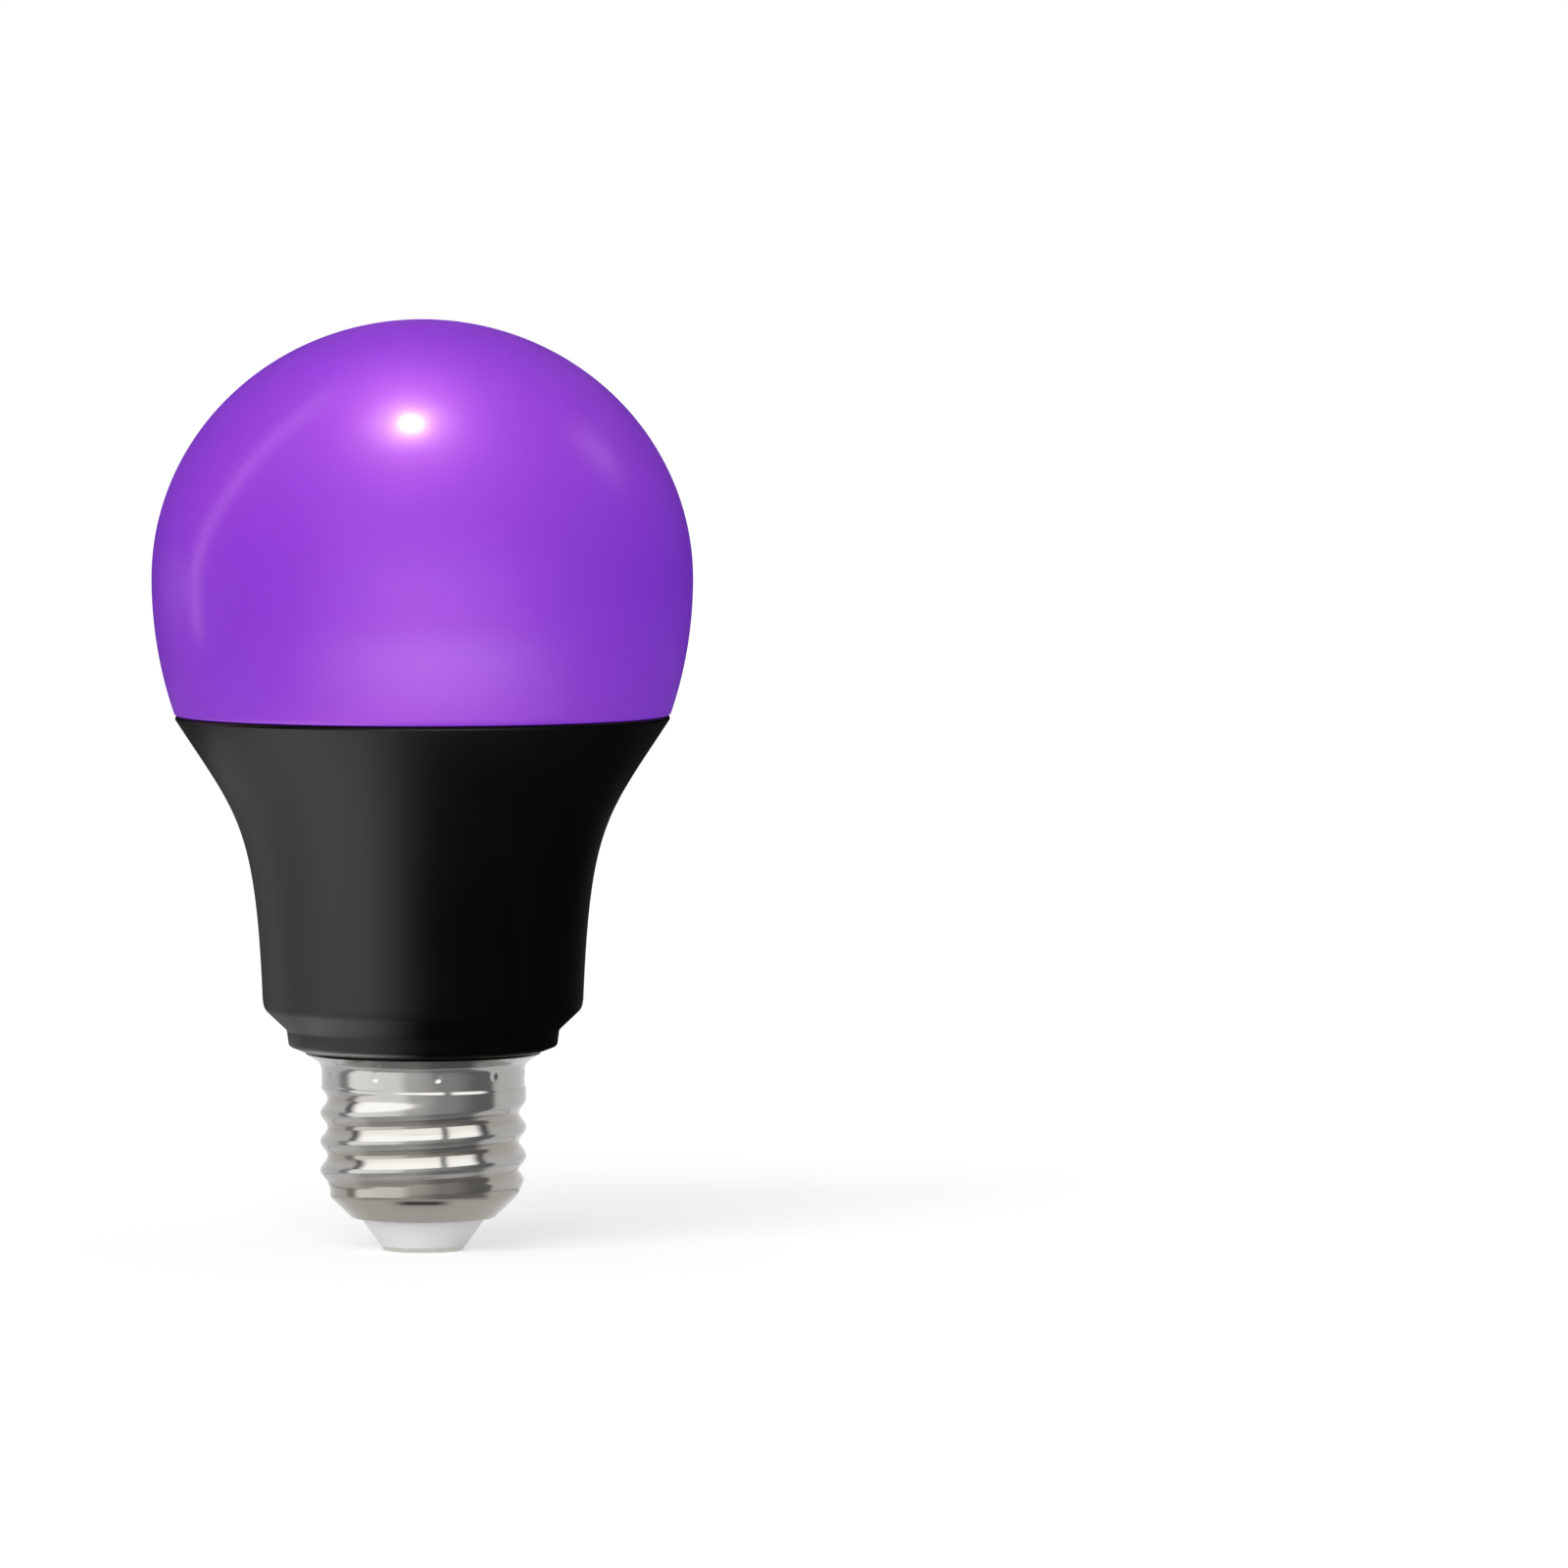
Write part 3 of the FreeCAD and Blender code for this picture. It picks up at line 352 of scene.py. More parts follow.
dress("electrolytic_capacitor", new_finish("electrolytic_sleeve", can_sleeve(middle_x=-5.0, top_z=51.5)))
dress("output_capacitor", new_finish("output_sleeve", can_sleeve(middle_x=6.5, top_z=49.0)))


# Inductor winding: enamelled copper wire wound in even layers on the ferrite drum, whose axis stands out
# from the driver board. The solid is one ring, and its finish shows the turns as ridges, with painted shade
# between them.
WINDING_PITCH = 0.32


def enamelled_turns(place):
    y = place.axes()[1]
    turns = (y * (2 * math.pi / WINDING_PITCH)).alone("SINE") * 0.5 + 0.5
    return {
        # Painted shade: the copper is darker in the dips between the turns.
        "Base Color": turns.mix((0.22, 0.05, 0.015, 1), (0.55, 0.20, 0.06, 1)),
        "Metallic": 0.7,
        "Roughness": 0.30 + 0.08 * place.noise(900.0, 2.0),
        "Normal": turns.bump(0.10 * MM),
    }


dress("inductor_winding", new_finish("enamelled_turns", enamelled_turns))


# Fusible resistor: ceramic rod in green lacquer with three soft-edged colour rings, soldered upright to the
# driver board.
RESISTOR_FOOT_Z = 16.0
RESISTOR_LENGTH = 8.5
LACQUER = (0.10, 0.24, 0.12, 1)


def banded_lacquer(place):
    z = place.axes()[2]
    rings = {"stops": [
        (0.00, LACQUER),
        (0.22, (0.30, 0.07, 0.02, 1)),
        (0.32, LACQUER),
        (0.42, (0.01, 0.01, 0.01, 1)),
        (0.52, LACQUER),
        (0.66, (0.50, 0.33, 0.06, 1)),
        (0.76, LACQUER),
    ]}
    along = (z - RESISTOR_FOOT_Z) * (1 / RESISTOR_LENGTH)
    return {
        "Base Color": place.node("ShaderNodeValToRGB", rings, {"Fac": along}),
        "Roughness": 0.30 + 0.10 * place.noise(600.0, 2.0),
        "Normal": place.noise(800.0, 2.0).bump(0.015 * MM),
    }


dress("fusible_resistor", new_finish("banded_lacquer", banded_lacquer))


# Screw shell: nickel plated sheet, drawn to a cup and rolled with the right-hand thread of a 26 mm screw
# cap. Ten punch marks in its plain band hold it on the stem.
CAP_TOP_Z = 23.7
CAP_TOP_ROUNDING = 1.5
CAP_BAND_RADIUS = 12.9
CREST_RADIUS = 13.08
THREAD_DEPTH = 0.92
PITCH = 3.629
FIRST_GROOVE_Z = 8.35
GROOVE_START, GROOVE_FULL = -0.55, -0.12
GROOVE_FALL, GROOVE_END = 3.04, 3.33
GROOVE_RADIUS, GROOVE_SIDE_RADIUS = 12.15, 12.75
THREAD_LOW_Z, THREAD_ROWS, THREAD_ROW_HEIGHT = 9.9, 72, 0.15
BAND_LOW_Z, BAND_ROWS, BAND_ROW_HEIGHT = 20.9, 20, 0.1
BAND_HIGH_Z = 22.85
SHEET = 0.3
HOLE_RADIUS = 8.2
LIP_RADIUS = 9.1
LIP_Z = 4.15
LIP_ROUNDING = 0.4
CONE_MIDDLE = (12.0, 7.0, 4.0)
CONE_TOP_Z = 9.1
CONE_TOP_ROUNDING = 1.0
FLARE_OUTSIDE, FLARE_INSIDE = (14.9, 25.0), (14.35, 25.0)
INSIDE_TOP_Z = 23.86
INSIDE_TOP_ROUNDING = 1.8
INSIDE_BAND_Z = 21.6
INSIDE_RADIUS = 11.75
INSIDE_HIGH_Z, INSIDE_LOW_Z = 20.6, 8.9
PRESSED_RADIUS = 11.8
PRESSED_LOW_Z, PRESSED_HIGH_Z = 4.6, 24
ALL_PRESSED_Z = 20
BAND_SKIN = 0.1
SHELL_CREASE = 50
MARK_COUNT = 10
MARK_TURN = 9.7
MARK_Z = 22.7
MARK_RADIUS = 0.75
MARK_DEPTH = 0.11
SHELL_STEPS = 540


def smooth(value):
    """0 up to 0 and 1 from 1 on, with a soft change between them."""
    value = min(max(value, 0), 1)
    return value * value * (3 - 2 * value)


def groove_depth(angle, z):
    """Depth of the thread at an angle in turns from the left side over the front, and at a height."""
    along = (z - FIRST_GROOVE_Z) / PITCH
    turn = round(along - angle)
    strength = smooth((turn + angle - GROOVE_START) / (GROOVE_FULL - GROOVE_START))
    strength *= 1 - smooth((turn + angle - GROOVE_FALL) / (GROOVE_END - GROOVE_FALL))
    return THREAD_DEPTH * strength * (1 + math.cos(2 * math.pi * (along - angle - turn))) / 2


def mark_depth(angle, z):
    """Depth of a punch mark at an angle in turns from the left side over the front, and at a height."""
    across = ((angle - 0.25) * MARK_COUNT - MARK_TURN * MARK_COUNT / 360 + 0.5) % 1 - 0.5
    arc = across / MARK_COUNT * 2 * math.pi * CAP_BAND_RADIUS
    away = math.hypot(arc, z - MARK_Z) / MARK_RADIUS
    return MARK_DEPTH * (1 - smooth(away))


def plated_nickel(place):
    """Bright nickel with fine rolling marks round it, and painted shade, darker and warmer, in the grooves.
    """
    x, y = place.axes()[:2]
    radius = (x * x + y * y) ** 0.5
    rolling = place.noise(700.0, 3.0, (0.25, 0.25, 6.0))
    stains = place.noise(240.0, 3.0)
    # Painted shade: the colour turns darker and browner where the thread sinks into its grooves.
    low = 1.0 - radius.step(GROOVE_RADIUS, GROOVE_SIDE_RADIUS)
    return {
        "Base Color": (0.5 * low + 0.25 * stains).mix((0.425, 0.42, 0.405, 1), (0.32, 0.29, 0.25, 1)),
        "Metallic": 1.0,
        "Roughness": 0.10 + 0.06 * stains + 0.05 * rolling,
        "Normal": rolling.bump(0.004 * MM),
    }


cone_line = rounded([
    (HOLE_RADIUS, LIP_Z),
    (LIP_RADIUS, LIP_Z, LIP_ROUNDING),
    CONE_MIDDLE,
    (CREST_RADIUS, CONE_TOP_Z, CONE_TOP_ROUNDING),
    (CREST_RADIUS, THREAD_LOW_Z),
])
thread_rows = [(CREST_RADIUS, THREAD_LOW_Z + THREAD_ROW_HEIGHT * row) for row in range(1, THREAD_ROWS + 1)]
band_rows = [(CAP_BAND_RADIUS, BAND_LOW_Z + BAND_ROW_HEIGHT * row) for row in range(BAND_ROWS)]
top_and_inside = rounded([
    (CAP_BAND_RADIUS, BAND_HIGH_Z),
    (CAP_BAND_RADIUS, CAP_TOP_Z, CAP_TOP_ROUNDING),
    FLARE_OUTSIDE,
    FLARE_INSIDE,
    (CAP_BAND_RADIUS - SHEET, INSIDE_TOP_Z, INSIDE_TOP_ROUNDING),
    (CAP_BAND_RADIUS - SHEET, INSIDE_BAND_Z),
    (INSIDE_RADIUS, INSIDE_HIGH_Z),
    (INSIDE_RADIUS, INSIDE_LOW_Z),
    (LIP_RADIUS, LIP_Z + SHEET),
    (HOLE_RADIUS, LIP_Z + SHEET),
])
shell = turned(cone_line + thread_rows + band_rows + top_and_inside, SHELL_STEPS)
for vertex in shell.verts:
    radius, z = math.hypot(vertex.co.x, vertex.co.y) / MM, vertex.co.z / MM
    angle = (math.atan2(vertex.co.y, vertex.co.x) / (2 * math.pi) - 0.5) % 1
    outside = radius > CAP_BAND_RADIUS - BAND_SKIN or z < ALL_PRESSED_Z
    if radius > PRESSED_RADIUS and PRESSED_LOW_Z < z < PRESSED_HIGH_Z and outside:
        depth = groove_depth(angle, z) + mark_depth(angle, z)
        scale = (radius - depth) / radius
        vertex.co.x *= scale
        vertex.co.y *= scale
screw_cap = finished("screw_cap", shell, new_finish("plated_nickel", plated_nickel), SHELL_CREASE)
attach(screw_cap, "root")
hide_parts("screw_shell")


# Cap insulator: white moulded cone that fills the hole in the shell's lip and keeps the contact apart
# from the shell.
INSULATOR_BORE = 1.9
INSULATOR_TIP_RADIUS = 5.4
INSULATOR_TIP_Z = 0.55
INSULATOR_TIP_ROUNDING = 0.2
INSULATOR_NECK_RADIUS = 7.9
INSULATOR_NECK_Z = 4.05
FLANGE_RADIUS = 8.7
FLANGE_LOW_Z, FLANGE_HIGH_Z = 4.45, 5.65
HOLLOW_RADIUS = 6.7
HOLLOW_NECK_Z = 4.15
HOLLOW_TIP_RADIUS = 4.8
HOLLOW_TIP_Z = 1.75


def white_moulding(place):
    clouds = place.noise(120.0, 2.0)
    return {
        "Base Color": clouds.mix((0.95, 0.95, 0.98, 1), (0.97, 0.97, 1.0, 1)),
        "Roughness": 0.36 + 0.08 * clouds,
        "Specular IOR Level": 0.35,
        "Normal": place.noise(1800.0, 2.0).bump(0.004 * MM),
    }


insulator_line = rounded([
    (INSULATOR_BORE, INSULATOR_TIP_Z),
    (INSULATOR_TIP_RADIUS, INSULATOR_TIP_Z, INSULATOR_TIP_ROUNDING),
    (INSULATOR_NECK_RADIUS, INSULATOR_NECK_Z),
    (INSULATOR_NECK_RADIUS, FLANGE_LOW_Z),
    (FLANGE_RADIUS, FLANGE_LOW_Z),
    (FLANGE_RADIUS, FLANGE_HIGH_Z),
    (HOLLOW_RADIUS, FLANGE_HIGH_Z),
    (HOLLOW_RADIUS, HOLLOW_NECK_Z),
    (HOLLOW_TIP_RADIUS, HOLLOW_TIP_Z),
    (INSULATOR_BORE, HOLLOW_TIP_Z),
])
insulator_finish = new_finish("white_moulding", white_moulding)
insulator = finished("cap_insulator_cone", turned(insulator_line), insulator_finish)
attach(insulator, "root")
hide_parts("cap_insulator")


# Centre contact: plated disc that lies on the end of the insulator, with a stem in the insulator's bore
# that takes the live wire. Its face is lightly worn by the lampholder's tongue.
CONTACT_RADIUS = 5.2
CONTACT_THICKNESS = 0.55
CONTACT_ROUNDING = 0.3
CONTACT_STEM_RADIUS = 1.6
CONTACT_STEM_Z = 2.95
WIRE_BORE_RADIUS = 0.65
WIRE_BORE_FLOOR_Z = 0.95
CONTACT_STEPS = 96


def contact_plating(place):
    wear = place.noise(900.0, 4.0, (1.0, 0.2, 1.0))
    return {
        "Base Color": wear.mix((0.46, 0.44, 0.41, 1), (0.62, 0.60, 0.57, 1)),
        "Metallic": 1.0,
        "Roughness": 0.16 + 0.16 * wear,
        "Normal": wear.bump(0.006 * MM),
    }


contact_line = rounded([
    (0.0, 0.0),
    (CONTACT_RADIUS, 0.0, CONTACT_ROUNDING),
    (CONTACT_RADIUS, CONTACT_THICKNESS),
    (CONTACT_STEM_RADIUS, CONTACT_THICKNESS),
    (CONTACT_STEM_RADIUS, CONTACT_STEM_Z),
    (WIRE_BORE_RADIUS, CONTACT_STEM_Z),
    (WIRE_BORE_RADIUS, WIRE_BORE_FLOOR_Z),
    (0.0, WIRE_BORE_FLOOR_Z),
])
contact_finish = new_finish("contact_plating", contact_plating)
contact_disc = finished("contact_disc", turned(contact_line, CONTACT_STEPS), contact_finish)
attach(contact_disc, "root")
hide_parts("centre_contact")


# Wires: the insulated live wire runs down to the contact, and the bare tinned neutral wire is folded up
# the stem's notch, where the shell is crimped over it.
dress("live_wire", new_finish("red_wire", even((0.42, 0.02, 0.02), 0.40, depth=0.003)))
dress("neutral_wire", new_finish("tinned_wire", even((0.62, 0.61, 0.58), 0.24, 1.0, 3000.0, 0.003)))


# LED board: aluminium disc under a white mask, pressed into the cup's lip. Twelve chips are soldered to
# it in a ring, and a socket in the middle takes the header pins of the driver.
TRACK_INNER, TRACK_OUTER, TRACK_EDGE = 15.0, 20.0, 0.1
CHIP_COUNT = 12
CHIP_RING_RADIUS = 17.5
WINDOW_RADIUS, WINDOW_RIM_RADIUS = 1.0, 1.06


def white_mask(place):
    x, y = place.axes()[:2]
    radius = (x * x + y * y) ** 0.5
    inside = radius.step(TRACK_INNER, TRACK_INNER + TRACK_EDGE)
    outside = radius.step(TRACK_OUTER, TRACK_OUTER + TRACK_EDGE)
    track = inside * (1.0 - outside)
    return {
        "Base Color": track.mix((0.80, 0.80, 0.78, 1), (0.72, 0.72, 0.69, 1)),
        "Roughness": 0.34 + 0.08 * place.noise(300.0, 2.0),
        "Normal": track.bump(0.03 * MM),
    }


def lit_chip(place):
    """White package whose sunk window glows violet."""
    x, y = place.axes()[:2]
    sector = (y.maths("ARCTAN2", y, x) * (CHIP_COUNT / (2 * math.pi))).alone("FLOOR")
    angle = (sector + 0.5) * (2 * math.pi / CHIP_COUNT)
    across = x - CHIP_RING_RADIUS * angle.alone("COSINE")
    along = y - CHIP_RING_RADIUS * angle.alone("SINE")
    away = (across * across + along * along) ** 0.5
    window = 1.0 - away.step(WINDOW_RADIUS, WINDOW_RIM_RADIUS)
    return {
        "Base Color": window.mix((0.80, 0.80, 0.78, 1), (0.45, 0.20, 0.75, 1)),
        "Roughness": 0.30 + 0.06 * place.noise(900.0, 2.0),
        "Emission Color": window.mix((0, 0, 0, 1), (0.35, 0.05, 1.0, 1)),
        "Emission Strength": 1.0,
        "Normal": place.noise(1500.0, 2.0).bump(0.004 * MM),
    }


dress("led_board", new_finish("white_mask", white_mask))
chip_finish = new_finish("lit_chip", lit_chip)
for number in range(1, CHIP_COUNT + 1):
    dress(f"led_chip_{number:02d}", chip_finish)
dress("board_socket", new_finish("ivory_socket", even((0.72, 0.68, 0.56), 0.42)))
pin_finish = new_finish("pin_plating", even((0.72, 0.55, 0.26), 0.22, 1.0, 2500.0, 0.003))
for node in ("header_pin_1", "header_pin_2"):
    dress(node, pin_finish)


# Dome sealant: bead of white silicone in the rim's rebate that the dome's skirt is set into. It is laid in
# soft and cures there.
dress("dome_sealant", new_finish("silicone", even((0.72, 0.72, 0.70), 0.50, grain=400.0, depth=0.03)))


# Diffuser dome: thin translucent plastic, dyed violet and frosted, that glows with the LEDs behind it. Its
# finish is opaque and glows by itself, a little more low down near the board. A coat gives the highlights.
DOME_RADIUS = 34.3
DOME_CROWN = 32.8
DOME_LOWER_AXIS = 43.1
DOME_CENTRE_Z = 85.3
DOME_WALL = 1.3
DOME_ROWS = 96
CUT_DISTANCE = 0.0001 * MM
FOOT_RISE = 0.22
FOOT_RADIUS = 31.36
FOOT_EDGE_RISE = 0.06
FOOT_FLAT_RADIUS = 31.2
SKIRT_RADIUS = 29.0
SKIRT_WALL = 1.4
SKIRT_Z = 66.0
SKIRT_BORE_RISE = 0.9
GLOW_FULL_Z, GLOW_END_Z, GLOW_FALL = 66.0, 96.0, 1.6


def egg(shape, inset, floor_z):
    """Adds the upper part of the dome's surface, moved in by the inset and cut off level at the floor."""
    made = bmesh.ops.create_uvsphere(shape, u_segments=TURN_STEPS, v_segments=DOME_ROWS, radius=1.0)["verts"]
    for vertex in made:
        height = DOME_CROWN if vertex.co.z > 0 else DOME_LOWER_AXIS
        across = (DOME_RADIUS - inset) * MM
        upright = vertex.co.z * (height - inset) * MM
        vertex.co = Vector((vertex.co.x * across, vertex.co.y * across, upright))
    bmesh.ops.translate(shape, verts=made, vec=(0, 0, DOME_CENTRE_Z * MM))
    edges = {edge for vertex in made for edge in vertex.link_edges}
    faces = {face for vertex in made for face in vertex.link_faces}
    cut = bmesh.ops.bisect_plane(
        shape, geom=made + list(edges) + list(faces), dist=CUT_DISTANCE,
        plane_co=(0, 0, floor_z * MM), plane_no=(0, 0, -1), clear_outer=True,
    )
    return [part for part in cut["geom_cut"] if isinstance(part, bmesh.types.BMEdge)]


def carry(shape, ring, radius, z):
    """Carries a ring of edges on to a new radius and height, and gives the ring at the far end."""
    made = bmesh.ops.extrude_edge_only(shape, edges=ring)["geom"]
    for vertex in [part for part in made if isinstance(part, bmesh.types.BMVert)]:
        scale = radius * MM / math.hypot(vertex.co.x, vertex.co.y)
        vertex.co = Vector((vertex.co.x * scale, vertex.co.y * scale, z * MM))
    return [part for part in made if isinstance(part, bmesh.types.BMEdge)]


def frosted_violet(place):
    z = place.axes()[2]
    frost = place.noise(90.0, 3.0)
    height = z.step(GLOW_FULL_Z, GLOW_END_Z)
    glow = (1.0 - height) ** GLOW_FALL
    return {
        "Base Color": glow.mix((0.130, 0.014, 0.360, 1), (0.160, 0.024, 0.370, 1)),
        "Roughness": 0.57 + 0.06 * frost,
        "IOR": 1.8,
        "Specular Tint": (1.0, 0.31, 0.27, 1),
        "Specular IOR Level": 1.0,
        "Coat Weight": 0.4,
        "Coat Roughness": 0.20,
        "Emission Color": glow.mix((0.052, 0.003, 0.345, 1), (0.066, 0.008, 0.350, 1)),
        "Emission Strength": 1.0,
        "Normal": place.noise(1400.0, 2.0).bump(0.002 * MM),
    }


dome = bmesh.new()
outer_ring = egg(dome, 0.0, SEAM_Z + FOOT_RISE)
inner_ring = egg(dome, DOME_WALL, SEAM_Z + DOME_WALL)
skirt_line = (
    (FOOT_RADIUS, SEAM_Z + FOOT_EDGE_RISE),
    (FOOT_FLAT_RADIUS, SEAM_Z),
    (SKIRT_RADIUS, SEAM_Z),
    (SKIRT_RADIUS, SKIRT_Z),
    (SKIRT_RADIUS - SKIRT_WALL, SKIRT_Z),
    (SKIRT_RADIUS - SKIRT_WALL, SEAM_Z + SKIRT_BORE_RISE),
)
for radius, z in skirt_line:
    outer_ring = carry(dome, outer_ring, radius, z)
bmesh.ops.bridge_loops(dome, edges=outer_ring + inner_ring)
bmesh.ops.recalc_face_normals(dome, faces=dome.faces)
dome_shell = finished("dome_shell", dome, new_finish("frosted_violet", frosted_violet))
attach(dome_shell, "root")
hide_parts("diffuser_dome")


# Studio: a pale floor that the lamp stands on, which keeps its shadow, in a plain white room. The floor and
# the room show as white to the camera and in reflections, and light the lamp softly.
ROOM_LIGHT = 0.55
FLOOR_HALF_WIDTH = 6.0
FLOOR_LIFT = 0.42


def seen_directly(tree):
    """1 for what the camera, gloss or glass sees, and 0 for what only lights other surfaces."""
    shade = Shade(tree)
    ray = shade.node("ShaderNodeLightPath").socket.node
    seen = Shade(tree, ray.outputs["Is Camera Ray"])
    for kind in ("Is Glossy Ray", "Is Transmission Ray"):
        seen = seen.maths("MAXIMUM", seen, Shade(tree, ray.outputs[kind]))
    return seen


world = bpy.data.worlds.new("white_room")
bpy.context.scene.world = world
room = emptied(world)
level = ROOM_LIGHT + (1.0 - ROOM_LIGHT) * seen_directly(world.node_tree)
backdrop = room.node("ShaderNodeBackground", {}, {"Color": (1, 1, 1, 1), "Strength": level})
room.node("ShaderNodeOutputWorld", {}, {"Surface": backdrop})

floor_shape = bmesh.new()
bmesh.ops.create_grid(floor_shape, x_segments=4, y_segments=4, size=FLOOR_HALF_WIDTH)
floor_material = bpy.data.materials.new("floor_paper")
paper = emptied(floor_material)
matt = paper.node("ShaderNodeBsdfDiffuse", {}, {"Color": (0.80, 0.80, 0.80, 1)})
lift = FLOOR_LIFT * seen_directly(floor_material.node_tree)
bright = paper.node("ShaderNodeEmission", {}, {"Color": (1, 1, 1, 1), "Strength": lift})
sheet = paper.node("ShaderNodeAddShader", {}, {0: matt, 1: bright})
paper.node("ShaderNodeOutputMaterial", {}, {"Surface": sheet})
floor = finished("floor", floor_shape, floor_material)


# Lamps: one wide soft sun from the front left gives the shape its shade. The rest only show in gloss: a cup
# of cards round the cap, a fence round the housing, and panels and small cards further out, all of them
# inside a dark tent.
SUN_DIRECTION = (0.30, 0.80, -0.52)
LEVEL = 0.4 * MM
TENT_RADIUS = 0.5
TENT_STRENGTH = 0.02
HALO_REACH = 5


def gloss_card(name, shape, strength, colour=(1, 1, 1, 1), fade=None):
    """Card that only gloss sees. Its light can fade with the place on it."""
    paint = bpy.data.materials.new(name)
    glow = emptied(paint)
    level = fade(glow.node("ShaderNodeTexCoord", output="Object")) * strength if fade else strength
    light = glow.node("ShaderNodeEmission", {}, {"Color": colour, "Strength": level})
    glow.node("ShaderNodeOutputMaterial", {}, {"Surface": light})
    made = finished(name, shape, paint)
    made.visible_camera = made.visible_diffuse = made.visible_shadow = made.visible_transmission = False


def ring_card(name, azimuths, ends, strength, fade):
    """Card bent round the lamp between two azimuths, where 0 is the camera and 90 its right. Its ends are
    the (reach, height) of its two long edges. Its light fades with the azimuth and with the place between
    the ends, which is the sum of reach and height in millimetres."""
    shape = bmesh.new()
    start, end = azimuths
    turn = math.radians(start)
    line = [shape.verts.new((math.sin(turn) * reach, -math.cos(turn) * reach, z)) for reach, z in ends]
    edge = shape.edges.new(line)
    bmesh.ops.spin(
        shape, geom=line + [edge], cent=(0, 0, 0), axis=(0, 0, 1), dvec=(0, 0, 0),
        angle=math.radians(end - start), steps=48, use_merge=False, use_duplicate=False,
    )
    bmesh.ops.remove_doubles(shape, verts=shape.verts, dist=MERGE_DISTANCE)

    def level(place):
        x, y, z = place.axes()
        azimuth = x.maths("ARCTAN2", x, 0.0 - y) * (180 / math.pi)
        return fade(azimuth, (x * x + y * y) ** 0.5 + z)

    gloss_card(name, shape, strength, fade=level)


def hump(value, low, high):
    """1 halfway between low and high, and softly down to 0 at both."""
    return 1.0 - (value - (low + high) / 2).alone("ABSOLUTE").step(0.0, (high - low) / 2)


def soft_card(name, azimuths, ends, strength):
    """Ring card whose light fades towards all its edges."""
    low, high = [sum(end) / MM for end in ends]

    def fade(azimuth, out):
        return hump(azimuth, *azimuths) * hump(out, low, high)

    ring_card(name, azimuths, ends, strength, fade)


def banded(light, changes):
    """Light at the back left, with the changes that it makes from one azimuth to another, going round."""
    def fade(azimuth, out):
        total = light
        for start, end, change in changes:
            total = total + change * azimuth.step(start, end)
        return total
    return fade


def aimed_card(name, spot, direction, distance, half, strength, colour=(1, 1, 1, 1), halo=0.0):
    """Square card seen from a spot on the lamp in a direction, whose light fades from its middle to half
    away. A halo adds that share of the light, and fades five times further out."""
    direction = Vector(direction).normalized()
    across = direction.cross(Vector((0, 0, 1))).normalized()
    along = across.cross(direction)
    middle = Vector(spot) * MM + direction * distance
    shape = bmesh.new()
    bmesh.ops.create_grid(shape, x_segments=1, y_segments=1, size=HALO_REACH * half if halo else half)
    for vertex in shape.verts:
        vertex.co = middle + across * vertex.co.x + along * vertex.co.y

    def fade(place):
        away = place.node("ShaderNodeVectorMath", {"operation": "DISTANCE"}, {0: place, 1: middle}, "Value")
        return 1.0 - away.step(0.0, half) + halo * (1.0 - away.step(0.0, HALO_REACH * half))

    gloss_card(name, shape, strength, colour, fade)


STREAK_MIDDLE = 80.0
STREAK_FORWARD, STREAK_FORWARD_LOW_Z, STREAK_FORWARD_HIGH_Z = 55.0, 66, 250
STREAK_BACK, STREAK_BACK_LOW_Z, STREAK_BACK_HIGH_Z = 30.0, 300, 350


def arch_card(name, centre_z, radius, sides, half, rises, strength, colour):
    """Strip bent over the lamp's left side in a plane square to the view, from one rise to another. Its
    light is a line that winds between the strip's sides, and fades to nothing at half from its middle."""
    shape = bmesh.new()
    turn = math.radians(rises[0])
    x, z = -math.cos(turn) * radius, centre_z + math.sin(turn) * radius
    line = [shape.verts.new((x, y, z)) for y in sides]
    edge = shape.edges.new(line)
    bmesh.ops.spin(
        shape, geom=line + [edge], cent=(0, 0, centre_z), axis=(0, 1, 0), dvec=(0, 0, 0),
        angle=math.radians(rises[1] - rises[0]), steps=24, use_merge=False, use_duplicate=False,
    )

    def fade(place):
        y, z = place.axes()[1:]
        forward = STREAK_FORWARD * z.step(STREAK_FORWARD_LOW_Z, STREAK_FORWARD_HIGH_Z)
        back = STREAK_BACK * z.step(STREAK_BACK_LOW_Z, STREAK_BACK_HIGH_Z)
        middle = STREAK_MIDDLE - forward + back
        return 1.0 - (y - middle).alone("ABSOLUTE").step(0.0, half / MM)

    gloss_card(name, shape, strength, colour, fade)


sun = bpy.data.lights.new("key", "SUN")
sun.energy = 1.5
sun.angle = math.radians(50)
key_lamp = bpy.data.objects.new("key", sun)
bpy.context.collection.objects.link(key_lamp)
key_lamp.rotation_euler = Vector(SUN_DIRECTION).to_track_quat("-Z", "Y").to_euler()
key_lamp.visible_glossy = False

tent = bmesh.new()
bmesh.ops.create_uvsphere(tent, u_segments=48, v_segments=24, radius=TENT_RADIUS)
bmesh.ops.bisect_plane(
    tent, geom=tent.verts[:] + tent.edges[:] + tent.faces[:], plane_co=(0, 0, LEVEL), plane_no=(0, 0, -1),
    clear_outer=True,
)
gloss_card("dark_tent", tent, TENT_STRENGTH)

